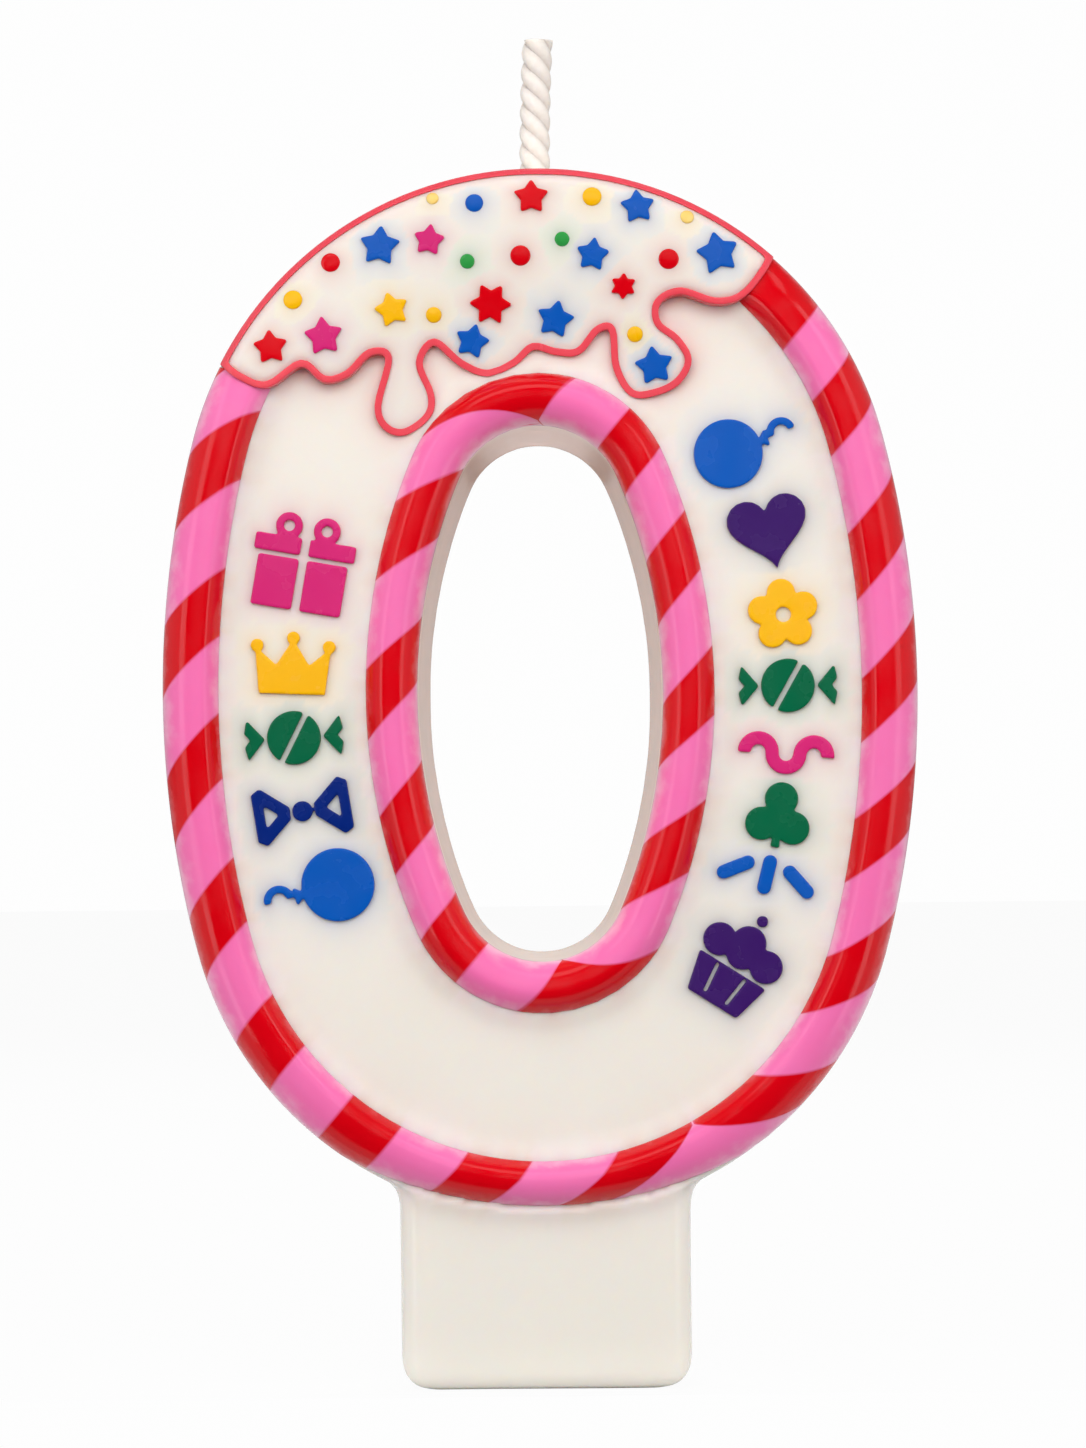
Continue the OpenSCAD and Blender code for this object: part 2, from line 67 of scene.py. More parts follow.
LOG = logging.getLogger("candle")
MM = 0.001
# Smaller differences than this are rounding
TINY = 1e-6
RIGHT_ANGLE = math.pi / 2
BODY = "root"


class Slot(Enum):
    """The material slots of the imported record."""

    WHITE = "wax_white"
    COTTON = "cotton"
    RED = "wax_red"
    PINK = "wax_pink"
    CORAL = "wax_coral"
    BLUE = "wax_blue"
    NAVY = "wax_navy"
    PURPLE = "wax_purple"
    GREEN = "wax_green"
    LEAF = "wax_leaf"
    MAGENTA = "wax_magenta"
    YELLOW = "wax_yellow"


class Attribute(Enum):
    """Names of the values that a piece keeps at its points for its material."""

    EDGE = "edge"
    RUN = "run"
    # Painted light: a glow of the coloured pieces' light in the white wax, and painted shade on the hole's
    # wall
    PAINTED_LIGHT = "painted_light"


def held(value: float) -> float:
    """Holds a value between 0 and 1."""
    return min(1.0, max(0.0, value))


def eased(share: float) -> float:
    """Turns an even rise from 0 to 1 into one that starts and ends gently."""
    return share * share * (3 - 2 * share)


def lowered(up: float, share: float) -> float:
    """Keeps a share of a height that stands out, and all of one that is sunk."""
    return up * share if up > 0 else up


def sinking(limit: float, depth: float) -> Move:
    """Makes a move that sinks a piece's underside into what is behind it.

    Args:
        limit: Where the underside begins, on the way to the back.
        depth: How far it sinks.

    Returns:
        The move of a point.
    """

    def sink(point: Vector) -> Vector:
        """Moves a point of the underside to the back."""
        return point if point.y < limit else point + Vector((0, depth, 0))

    return sink


def shown(name: str, data: bpy.types.ID) -> bpy.types.Object:
    """Adds an object to the scene.

    Args:
        name: Its name.
        data: Its mesh, lamp or camera.

    Returns:
        The object.
    """
    made = bpy.data.objects.new(name, data)
    bpy.context.scene.collection.objects.link(made)
    return made


@dataclass(frozen=True)
class Oval:
    """An upright oval of two end arcs and two flatter side arcs, in the plane of the front."""

    half_w: float
    half_h: float
    end_r: float  # radius of the end arcs
    centre_z: float  # height above the table

    def grown(self, by: float) -> Oval:
        """Gives the oval that runs outside this one by a distance, or inside it by one below zero."""
        return Oval(self.half_w + by, self.half_h + by, self.end_r + by, self.centre_z)

    @property
    def rise(self) -> float:
        """Height of an end arc's centre above the oval's."""
        return self.half_h - self.end_r

    @property
    def side_r(self) -> float:
        """Radius of the side arcs."""
        return (self.half_w**2 + self.rise**2 - self.end_r**2) / (2 * (self.half_w - self.end_r))

    @property
    def shift(self) -> float:
        """Distance of a side arc's centre beyond the oval's."""
        return self.side_r - self.half_w

    @property
    def side_angle(self) -> float:
        """Half the angle that a side arc spans, in radians."""
        return math.atan2(self.rise, self.shift)

    def arcs(self) -> list[tuple[float, float, float, float, float]]:
        """Lists the arcs from the lowest point round to the right.

        Returns:
            For each arc its length, radius, first angle and the x and z of its centre.
        """
        turn = self.side_angle
        end = self.end_r * (RIGHT_ANGLE - turn)
        side = self.side_r * 2 * turn
        low, high = self.centre_z - self.rise, self.centre_z + self.rise
        return [
            (end, self.end_r, -RIGHT_ANGLE, 0.0, low),
            (side, self.side_r, -turn, -self.shift, self.centre_z),
            (2 * end, self.end_r, turn, 0.0, high),
            (side, self.side_r, math.pi - turn, self.shift, self.centre_z),
            (end, self.end_r, math.pi + turn, 0.0, low),
        ]

    @property
    def length(self) -> float:
        """Length of the way round."""
        return sum(arc[0] for arc in self.arcs())

    def place(self, way: float) -> tuple[float, float, float]:
        """Finds a point on the oval.

        Args:
            way: Distance from the lowest point, round to the right.

        Returns:
            The point's x and z, and the outward angle there.
        """
        left = way % self.length
        for length, radius, first, x, z in self.arcs():
            if left <= length:
                break
            left -= length
        angle = first + left / radius
        return x + radius * math.cos(angle), z + radius * math.sin(angle), angle

    def outside(self, x: float, z: float) -> float:
        """Measures how far a point is outside the oval.

        Args:
            x: The point's x.
            z: The point's height.

        Returns:
            The distance, which is less than zero inside.
        """
        across, up = abs(x), abs(z - self.centre_z)
        if math.atan2(up, across + self.shift) > self.side_angle:
            return math.hypot(across, up - self.rise) - self.end_r
        return math.hypot(across + self.shift, up) - self.side_r


@dataclass(frozen=True)
class Layout:
    """The candle's driving sizes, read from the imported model."""

    digit: Oval
    hole: Oval
    face_y: float  # where the front of the white wax lies
    crown_y: float  # where the rolls reach furthest to the front
    icing_y: float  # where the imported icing's front lies
    digit_bow: float = 1.5 * MM  # how much smaller than half its width the end arcs' radius is
    hole_bow: float = 2.6 * MM
    outer_w: float = 4.0 * MM  # width of the roll around the digit
    inner_w: float = 3.6 * MM  # and of the one around the hole
    creep_h: float = 0.35 * MM  # how high the white wax creeps up beside the rolls
    creep_w: float = 0.9 * MM  # how far from them it does
    creep_under: float = 0.5 * MM  # how far under them it stays that high
    creep_fall: float = 1.0 * MM  # the distance in which it then comes down
    foot_inset: float = 0.75 * MM  # how far the foot's wax comes up over the roll
    foot_reach: float = 13 * MM  # how far it does to either side

    @classmethod
    def from_frame(cls) -> Layout:
        """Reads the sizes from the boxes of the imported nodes.

        Returns:
            The layout.
        """
        body_low, body_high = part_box("wax_body")
        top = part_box("icing_outline")[1].z
        rolls = [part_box("outer_border_red"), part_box("outer_border_pink")]
        foot_h = min(low.z for low, _ in rolls)
        half_w = body_high.x
        centre = (top + foot_h) / 2
        digit = Oval(half_w, (top - foot_h) / 2, half_w - cls.digit_bow, centre)
        inner = [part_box("inner_border_red"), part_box("inner_border_pink")]
        hole_half_w = max(high.x for _, high in inner) - cls.inner_w
        hole_half_h = max(high.z for _, high in inner) - centre - cls.inner_w
        hole = Oval(hole_half_w, hole_half_h, hole_half_w - cls.hole_bow, centre)
        crown_y = min(low.y for low, _ in rolls)
        return cls(digit, hole, body_low.y, crown_y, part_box("icing_layer")[0].y)

    @property
    def crown(self) -> float:
        """Height of the rolls' crowns above the front."""
        return self.face_y - self.crown_y

    def creep(self, x: float, z: float) -> float:
        """Gives how high the white wax stands beside the rolls.

        Args:
            x: Place across.
            z: Height above the table.

        Returns:
            Its height above the front, most beside a roll and a little way under it.
        """
        outer = -self.digit.grown(-self.outer_w).outside(x, z)
        inner = self.hole.grown(self.inner_w).outside(x, z)
        below = self.digit.outside(x, z) + self.foot_cover(x)
        near = below if below > 0 else min(outer, inner)
        if near > 0:
            return self.creep_h * math.exp(-((near / self.creep_w) ** 2))
        return self.creep_h * (1.0 - held((-near - self.creep_under) / self.creep_fall))

    def foot_cover(self, x: float) -> float:
        """Gives how far the foot's wax comes up over the roll around the digit, at a place across."""
        return self.foot_inset * max(0.0, 1 - (x / self.foot_reach) ** 2)


# Nodes and node groups for the finishes


@dataclass(frozen=True)
class Grain:
    """A noise and the range that it is mapped to."""

    scale: float  # lumps in a metre
    detail: float  # finer layers
    span: Pair  # values that become the ends of the new range
    to: Pair


class NodeKit:
    """Adds nodes to a node tree and joins them."""

    # The mix node's sockets for colours
    MIX_FIRST, MIX_SECOND, MIX_RESULT = 6, 7, 2

    def __init__(self, tree: bpy.types.NodeTree) -> None:
        """Keeps the tree that the nodes go in."""
        self.tree = tree

    @staticmethod
    def fill(node: bpy.types.Node, **values: object) -> bpy.types.Node:
        """Fills in a node.

        Args:
            node: The node.
            values: Its settings by attribute name, or by input name with spaces as underscores.

        Returns:
            The node.
        """
        for name, value in values.items():
            if hasattr(node, name):
                setattr(node, name, value)
            else:
                node.inputs[name.replace("_", " ")].default_value = value
        return node

    def add(self, kind: str, **values: object) -> bpy.types.Node:
        """Adds a node of one of Blender's types and fills it in."""
        return self.fill(self.tree.nodes.new(kind), **values)

    def join(self, out: Socket, into: Socket) -> None:
        """Joins an output to an input."""
        self.tree.links.new(out, into)

    def feed(self, into: Socket, value: Socket | float | Colour) -> None:
        """Gives an input its value.

        Args:
            into: The input.
            value: An output to join to it, a number or a colour.
        """
        if isinstance(value, Socket):
            self.join(value, into)
        elif isinstance(value, tuple):
            into.default_value = (*value, 1.0)
        else:
            into.default_value = value

    def where(self) -> Socket:
        """Gives the place on the piece, in metres."""
        return self.add("ShaderNodeTexCoord").outputs["Object"]

    def mark(self, attribute: Attribute) -> bpy.types.Node:
        """Adds a node that reads one of the piece's values."""
        return self.add("ShaderNodeAttribute", attribute_name=attribute.value)

    def texture(self, kind: str, where: Socket, **values: float) -> Socket:
        """Adds a texture.

        Args:
            kind: Its Blender type.
            where: The coordinates that it reads.
            values: Its inputs by name.

        Returns:
            Its first output.
        """
        made = self.add(kind, **values)
        self.join(where, made.inputs["Vector"])
        return made.outputs[0]

    def noise(self, where: Socket, scale: float, detail: float) -> Socket:
        """Adds a noise of so many lumps in a metre and so many finer layers, about 0.5 on average."""
        return self.texture("ShaderNodeTexNoise", where, Scale=scale, Detail=detail)

    def cells(self, where: Socket, scale: float) -> Socket:
        """Adds so many scattered points in a metre, and gives the distance to the nearest."""
        return self.texture("ShaderNodeTexVoronoi", where, Scale=scale)

    def remap(self, value: Socket, span: Pair, to: Pair) -> Socket:
        """Maps a range of values to another with gentle ends, and holds them inside it.

        Args:
            value: The value to map.
            span: Its values that become the ends of the new range.
            to: The new range.

        Returns:
            The mapped value.
        """
        made = self.add(
            "ShaderNodeMapRange", interpolation_type="SMOOTHSTEP",
            From_Min=span[0], From_Max=span[1], To_Min=to[0], To_Max=to[1],
        )
        self.join(value, made.inputs["Value"])
        return made.outputs["Result"]

    def grain(self, where: Socket, grain: Grain) -> Socket:
        """Adds a noise that is mapped to a range."""
        return self.remap(self.noise(where, grain.scale, grain.detail), grain.span, grain.to)

    def math(self, operation: str, first: Socket, second: Socket | float) -> Socket:
        """Works out one value from two.

        Args:
            operation: What is done with them.
            first: The first value.
            second: The second, as a socket or a number.

        Returns:
            The result.
        """
        made = self.add("ShaderNodeMath", operation=operation)
        self.join(first, made.inputs[0])
        self.feed(made.inputs[1], second)
        return made.outputs[0]

    def mix(self, share: Socket, first: Socket | Colour, second: Socket | Colour) -> Socket:
        """Mixes two colours.

        Args:
            share: How much of the second shows.
            first: The first colour, as a socket or a value.
            second: The second.

        Returns:
            The mixed colour.
        """
        made = self.add("ShaderNodeMix", data_type="RGBA")
        self.join(share, made.inputs["Factor"])
        self.feed(made.inputs[self.MIX_FIRST], first)
        self.feed(made.inputs[self.MIX_SECOND], second)
        return made.outputs[self.MIX_RESULT]


class GroupKit(NodeKit):
    """Starts a shader node group and adds its nodes."""

    def __init__(self, name: str, inputs: dict[str, tuple[str, object]], outputs: dict[str, str]) -> None:
        """Builds the group with its sockets.

        Args:
            name: Its name.
            inputs: Each input's kind of socket and its first value.
            outputs: Each output's kind of socket.
        """
        super().__init__(bpy.data.node_groups.new(name, "ShaderNodeTree"))
        panel = self.tree.interface
        for label, (kind, value) in inputs.items():
            socket = panel.new_socket(label, in_out="INPUT", socket_type=f"NodeSocket{kind}")
            socket.default_value = value
        for label, kind in outputs.items():
            panel.new_socket(label, in_out="OUTPUT", socket_type=f"NodeSocket{kind}")
        self.source = self.add("NodeGroupInput")
        self.sink = self.add("NodeGroupOutput")


class WaxGroups:
    """The effects that the waxes share, each built once."""

    # Slow and fine changes of colour, of roughness and of how densely specks lie
    SLOW = Grain(70.0, 1.0, (0.3, 0.7), (0.0, 0.7))
    FINE = Grain(700.0, 2.0, (0.25, 0.75), (0.0, 0.3))
    DULL = Grain(420.0, 3.0, (0.3, 0.7), (-0.06, 0.08))
    PATCH = Grain(330.0, 2.0, (0.52, 0.66), (0.0, 1.0))
    # Scales and finer layers of the skin's swells and roughness, and how much the roughness counts
    SWELL_SCALE, SWELL_DETAIL = 260.0, 1.0
    ROUGH_SCALE, ROUGH_DETAIL = 1900.0, 3.0
    ROUGH_SHARE = 0.16
    # Pits and specks: points in a metre, where they begin and end, and how deep or dark they are
    PIT_SCALE, PIT_SPAN, PIT_DEPTH = 750.0, (0.04, 0.15), (-0.25, 0.0)
    SPECK_SCALE, SPECK_SPAN, SPECK_SHARE = 420.0, (0.03, 0.11), (1.0, 0.0)
    # How deep all of it is
    SKIN_DEPTH = 0.12 * MM

    def __init__(self) -> None:
        """Builds the groups."""
        self.cloud = self._cloud()
        self.skin = self._skin()
        self.specks = self._specks()

    def _cloud(self) -> bpy.types.NodeTree:
        """Builds slow changes of depth in a colour, as pigment gathers in poured wax.

        Returns:
            A group from two colours, a roughness and how much each varies to a colour and a roughness.
        """
        kit = GroupKit(
            "wax_cloud",
            {
                "Colour": ("Color", (0.8, 0.8, 0.8, 1.0)),
                "Deep": ("Color", (0.5, 0.5, 0.5, 1.0)),
                "Amount": ("Float", 0.5),
                "Roughness": ("Float", 0.3),
                "Uneven": ("Float", 1.0),
            },
            {"Colour": "Color", "Roughness": "Float"},
        )
        given, result = kit.source.outputs, kit.sink.inputs
        where = kit.where()
        both = kit.math("ADD", kit.grain(where, self.SLOW), kit.grain(where, self.FINE))
        share = kit.math("MULTIPLY", both, given["Amount"])
        kit.join(kit.mix(share, given["Colour"], given["Deep"]), result["Colour"])
        uneven = kit.math("MULTIPLY", kit.grain(where, self.DULL), given["Uneven"])
        kit.join(kit.math("ADD", uneven, given["Roughness"]), result["Roughness"])
        return kit.tree

    def _skin(self) -> bpy.types.NodeTree:
        """Builds the uneven skin of wax that set in a mould.

        Returns:
            A group from a strength to a normal.
        """
        kit = GroupKit("wax_skin", {"Strength": ("Float", 0.2)}, {"Normal": "Vector"})
        where = kit.where()
        swell = kit.noise(where, self.SWELL_SCALE, self.SWELL_DETAIL)
        rough = kit.math("MULTIPLY", kit.noise(where, self.ROUGH_SCALE, self.ROUGH_DETAIL), self.ROUGH_SHARE)
        pit = kit.remap(kit.cells(where, self.PIT_SCALE), self.PIT_SPAN, self.PIT_DEPTH)
        bump = kit.add("ShaderNodeBump", Distance=self.SKIN_DEPTH)
        kit.join(kit.math("ADD", kit.math("ADD", swell, rough), pit), bump.inputs["Height"])
        kit.join(kit.source.outputs["Strength"], bump.inputs["Strength"])
        kit.join(bump.outputs["Normal"], kit.sink.inputs["Normal"])
        return kit.tree

    def _specks(self) -> bpy.types.NodeTree:
        """Builds the scattered dark specks of undissolved pigment.

        Returns:
            A group from an amount to a mask.
        """
        kit = GroupKit("pigment_specks", {"Amount": ("Float", 0.5)}, {"Mask": "Float"})
        where = kit.where()
        speck = kit.remap(kit.cells(where, self.SPECK_SCALE), self.SPECK_SPAN, self.SPECK_SHARE)
        mask = kit.math("MULTIPLY", speck, kit.grain(where, self.PATCH))
        kit.join(kit.math("MULTIPLY", mask, kit.source.outputs["Amount"]), kit.sink.inputs["Mask"])
        return kit.tree


def new_material(name: str) -> tuple[bpy.types.Material, NodeKit, bpy.types.Node]:
    """Starts a material.

    Args:
        name: Its name.

    Returns:
        The material, its nodes and its shader.
    """
    made = bpy.data.materials.new(name)
    made.use_nodes = True
    return made, NodeKit(made.node_tree), made.node_tree.nodes["Principled BSDF"]


# Finishes


@dataclass(frozen=True)
class WaxFinish:
    """A wax and how it takes light, as the motifs' paints do unless it says otherwise."""

    slot: Slot
    colour: Colour
    deep: Colour  # colour where it lies thicker
    cloud: float = 0.5  # how much the colour varies
    roughness: float = 0.24
    uneven: float = 1.0  # how much the roughness varies
    skin: float = 0.1  # strength of the unevenness of its skin
    specks: float = 0.0  # how many specks of pigment show
    scatter: float = 0.2  # share of the light that goes through the wax
    reach: Colour = (0.5 * MM, 0.3 * MM, 0.3 * MM)  # how far red, green and blue light spread in it
    pale_paint_and_sheen: Colour | None = None  # colour where the paint thins at an edge or is pale, which on the rolls' flanks is also a painted sheen
    fade_from: float = 0.62  # where on the way to an edge it begins to thin and the painted sheen begins
    fade_to: float = 1.05  # where it is thinnest and the painted sheen brightest
    thinnest: float = 0.75  # how much of that colour shows there
    beside: Colour | None = None  # colour that it runs into where two stripes meet

    # How strongly wax bends light
    IOR = 1.44
    # How much of the deep colour's light a speck gives back
    SPECK_LIGHT = 0.45
    # How ragged the thin edges of the paint are
    RAGGED = Grain(700.0, 3.0, (0.3, 0.7), (-0.12, 0.12))

    def material(self, groups: WaxGroups) -> bpy.types.Material:
        """Builds the material.

        Args:
            groups: The shared effects.

        Returns:
            The material.
        """
        made, kit, shader = new_material(self.slot.value)
        cloud = kit.add(
            "ShaderNodeGroup", node_tree=groups.cloud, Colour=(*self.colour, 1.0), Deep=(*self.deep, 1.0),
            Amount=self.cloud, Roughness=self.roughness, Uneven=self.uneven,
        )
        colour = cloud.outputs["Colour"]
        if self.specks:
            specks = kit.add("ShaderNodeGroup", node_tree=groups.specks, Amount=self.specks)
            dark = tuple(self.SPECK_LIGHT * part for part in self.deep)
            colour = kit.mix(specks.outputs["Mask"], colour, dark)
        if self.beside:
            colour = kit.mix(kit.mark(Attribute.RUN).outputs["Fac"], colour, self.beside)
        if self.pale_paint_and_sheen:
            colour = self._with_pale_paint_and_sheen(kit, colour)
        # White wax gets painted light: a glow beside the coloured pieces and painted shade on the hole's
        # wall
        if self.slot is Slot.WHITE:
            painted_light = kit.mark(Attribute.PAINTED_LIGHT)
            colour = kit.mix(painted_light.outputs["Alpha"], colour, painted_light.outputs["Color"])
        skin = kit.add("ShaderNodeGroup", node_tree=groups.skin, Strength=self.skin)
        kit.join(colour, shader.inputs["Base Color"])
        kit.join(cloud.outputs["Roughness"], shader.inputs["Roughness"])
        kit.join(skin.outputs["Normal"], shader.inputs["Normal"])
        kit.fill(shader, Subsurface_Weight=self.scatter, Subsurface_Radius=self.reach)
        kit.fill(shader, Subsurface_Scale=1.0, IOR=self.IOR)
        return made

    def _with_pale_paint_and_sheen(self, kit: NodeKit, colour: Socket) -> Socket:
        """Thins the paint towards the edges that the piece marks, which on the rolls' flanks also paints a
        sheen of light.

        Args:
            kit: The material's nodes.
            colour: The colour where the paint is full.

        Returns:
            The colour with the thin edges.
        """
        ragged = kit.grain(kit.where(), self.RAGGED)
        edge = kit.math("ADD", kit.mark(Attribute.EDGE).outputs["Fac"], ragged)
        thin = kit.remap(edge, (self.fade_from, self.fade_to), (0.0, self.thinnest))
        return kit.mix(thin, colour, self.pale_paint_and_sheen)


ROLL_REACH = (0.5 * MM, 0.25 * MM, 0.25 * MM)
RED_WAX = (0.70, 0.0, 0.006)
PINK_WAX = (0.91, 0.185, 0.455)
FINISHES = (
    WaxFinish(
        Slot.WHITE, (0.86, 0.82, 0.75), (0.83, 0.785, 0.705), cloud=0.3, roughness=0.15, uneven=0.1,
        skin=0.04, scatter=0.5, reach=(1.6 * MM, 1.1 * MM, 0.75 * MM),
    ),
    # On the rolls the pale flanks are partly thinned paint and partly a painted sheen, widest on the pink
    WaxFinish(
        Slot.RED, RED_WAX, (0.60, 0.0, 0.003), cloud=0.4, roughness=0.15, specks=0.5, scatter=0.15,
        reach=ROLL_REACH, pale_paint_and_sheen=(0.85, 0.30, 0.32), thinnest=0.5, beside=PINK_WAX,
    ),
    WaxFinish(
        Slot.PINK, PINK_WAX, (0.92, 0.145, 0.41), roughness=0.17, specks=0.1, scatter=0.15,
        reach=ROLL_REACH, pale_paint_and_sheen=(0.96, 0.60, 0.72), fade_from=0.38, beside=RED_WAX,
    ),
    WaxFinish(
        Slot.CORAL, (0.84, 0.085, 0.115), (0.76, 0.052, 0.08), cloud=0.6, roughness=0.20, scatter=0.3,
    ),
    WaxFinish(Slot.BLUE, (0.0, 0.10, 0.49), (0.0, 0.082, 0.43)),
    WaxFinish(Slot.NAVY, (0.0, 0.018, 0.20), (0.0, 0.014, 0.17)),
    WaxFinish(Slot.PURPLE, (0.047, 0.010, 0.14), (0.038, 0.007, 0.12)),
    WaxFinish(Slot.GREEN, (0.0, 0.138, 0.056), (0.0, 0.115, 0.046)),
    WaxFinish(Slot.LEAF, (0.03, 0.33, 0.06), (0.022, 0.28, 0.05)),
    WaxFinish(Slot.MAGENTA, (0.67, 0.016, 0.18), (0.60, 0.011, 0.155)),
    WaxFinish(Slot.YELLOW, (0.94, 0.49, 0.0), (0.90, 0.44, 0.0), pale_paint_and_sheen=(0.95, 0.72, 0.28)),
)


@dataclass(frozen=True)
class CottonFinish:
    """Twisted cotton soaked in wax."""

    colour: Colour = (0.90, 0.83, 0.77)
    groove_shade_colour: Colour = (0.74, 0.64, 0.57)  # painted shade in the grooves between the plies
    fibre_scale: float = 2600.0  # fibres in a metre
    fibre_detail: float = 4.0
    fibre_span: Pair = (0.3, 0.7)  # values that become the ends of the next two
    fibre_dark: Pair = (-0.15, 0.15)
    fibre_rough: Pair = (0.42, 0.62)
    fibre_depth: float = 0.06 * MM
    fibre_strength: float = 0.5
    scatter: float = 0.3  # share of the light that goes through the cord
    reach: Colour = (0.5 * MM, 0.4 * MM, 0.3 * MM)  # how far red, green and blue light spread in it

    def material(self) -> bpy.types.Material:
        """Builds the material.

        Returns:
            The material.
        """
        made, kit, shader = new_material(Slot.COTTON.value)
        fibre = kit.noise(kit.where(), self.fibre_scale, self.fibre_detail)
        # The grooves between the plies are darkened with painted shade
        groove_shade = kit.mark(Attribute.EDGE).outputs["Fac"]
        dark = kit.math("ADD", groove_shade, kit.remap(fibre, self.fibre_span, self.fibre_dark))
        bump = kit.add("ShaderNodeBump", Distance=self.fibre_depth, Strength=self.fibre_strength)
        kit.join(fibre, bump.inputs["Height"])
        kit.join(kit.mix(dark, self.colour, self.groove_shade_colour), shader.inputs["Base Color"])
        kit.join(kit.remap(fibre, self.fibre_span, self.fibre_rough), shader.inputs["Roughness"])
        kit.join(bump.outputs["Normal"], shader.inputs["Normal"])
        kit.fill(shader, Subsurface_Weight=self.scatter, Subsurface_Radius=self.reach, Subsurface_Scale=1.0)
        return made


@dataclass(frozen=True)
class Cast:
    """How a shape takes on the soft edges of cast wax."""

    voxel: float  # size of the faces
    rounds: int  # how often the edges are eased
    grown: float = 0.0  # how far the shape swells before that


class Dresser:
    """Turns finished meshes into pieces with their finish, body and slot."""

    # A painted glow: how the coloured pieces' light shines into the white wax beside them, from every third
    # of their points
    GLOW_SHARE = 0.22
    GLOW_REACH = 0.85 * MM
    PAINT_STEP = 3
    # How far each round of easing goes
    EASE = 0.5

    def __init__(self, nodes: dict[str, bpy.types.Object]) -> None:
        """Builds every finish.

        Args:
            nodes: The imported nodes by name.
        """
        self.nodes = nodes
        groups = WaxGroups()
        self.materials = {finish.slot: finish.material(groups) for finish in FINISHES}
        self.materials[Slot.COTTON] = CottonFinish().material()
        self.colours = {finish.slot: finish.colour for finish in FINISHES}
        self.paints: list[tuple[Vector, Colour]] = []

    def piece(self, bm: Shape, node: str, slot: Slot) -> bpy.types.Object:
        """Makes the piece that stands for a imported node.

        Args:
            bm: Its shape, which is freed.
            node: The node's name, which the piece takes up.
            slot: The slot that it takes its finish from.

        Returns:
            The piece.
        """
        name = f"{node}.wax" if slot is not Slot.COTTON else f"{node}.cord"
        mesh = bpy.data.meshes.new(name)
        bm.to_mesh(mesh)
        bm.free()
        if slot is Slot.WHITE:
            self._glow(mesh)
        elif slot is not Slot.COTTON:
            places = [vert.co.copy() for vert in mesh.vertices]
            self.paints += [(place, self.colours[slot]) for place in places[:: self.PAINT_STEP]]
        mesh.shade_smooth()
        mesh.materials.append(self.materials[slot])
        made = shown(name, mesh)
        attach(made, BODY)
        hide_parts(node)
        LOG.info("%s: %d faces, %s", name, len(mesh.polygons), slot.value)
        return made

    def _glow(self, mesh: bpy.types.Mesh) -> None:
        """Paints a glow into white wax beside the coloured pieces, for their light that scatters through it.

        Args:
            mesh: The white piece's mesh, made after every painted one.
        """
        tree = kdtree.KDTree(len(self.paints))
        for index, (place, _) in enumerate(self.paints):
            tree.insert(place, index)
        tree.balance()
        painted_light = mesh.attributes.new(Attribute.PAINTED_LIGHT.value, "FLOAT_COLOR", "POINT")
        for vert, value in zip(mesh.vertices, painted_light.data):
            _, index, away = tree.find(vert.co)
            value.color = (*self.paints[index][1], self.GLOW_SHARE * math.exp(-away / self.GLOW_REACH))

    def softened(self, node: str, cast: Cast, move: Move | None = None) -> Shape:
        """Gives a node's shape with the soft edges of cast wax.

        Args:
            node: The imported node.
            cast: How soft the edges get.
            move: Moves each point of the node first.

        Returns:
            The soft shape.
        """
        bm = bmesh.new()
        bm.from_mesh(self.nodes[node].data)
        bmesh.ops.remove_doubles(bm, verts=bm.verts, dist=TINY)
        if move:
            for vert in bm.verts:
                vert.co = move(vert.co)
        mesh = bpy.data.meshes.new("soft")
        bm.to_mesh(mesh)
        soft = shown("soft", mesh)
        remesh = soft.modifiers.new("cast", "REMESH")
        remesh.mode = "VOXEL"
        remesh.voxel_size = cast.voxel
        if cast.grown:
            swell = soft.modifiers.new("swell", "DISPLACE")
            swell.mid_level = 0.0
            swell.strength = cast.grown
        ease = soft.modifiers.new("ease", "SMOOTH")
        ease.factor = self.EASE
        ease.iterations = cast.rounds
        bm.clear()
        bm.from_object(soft, bpy.context.evaluated_depsgraph_get())
        bpy.data.objects.remove(soft)
        bpy.data.meshes.remove(mesh)
        return bm


# Sub-assemblies


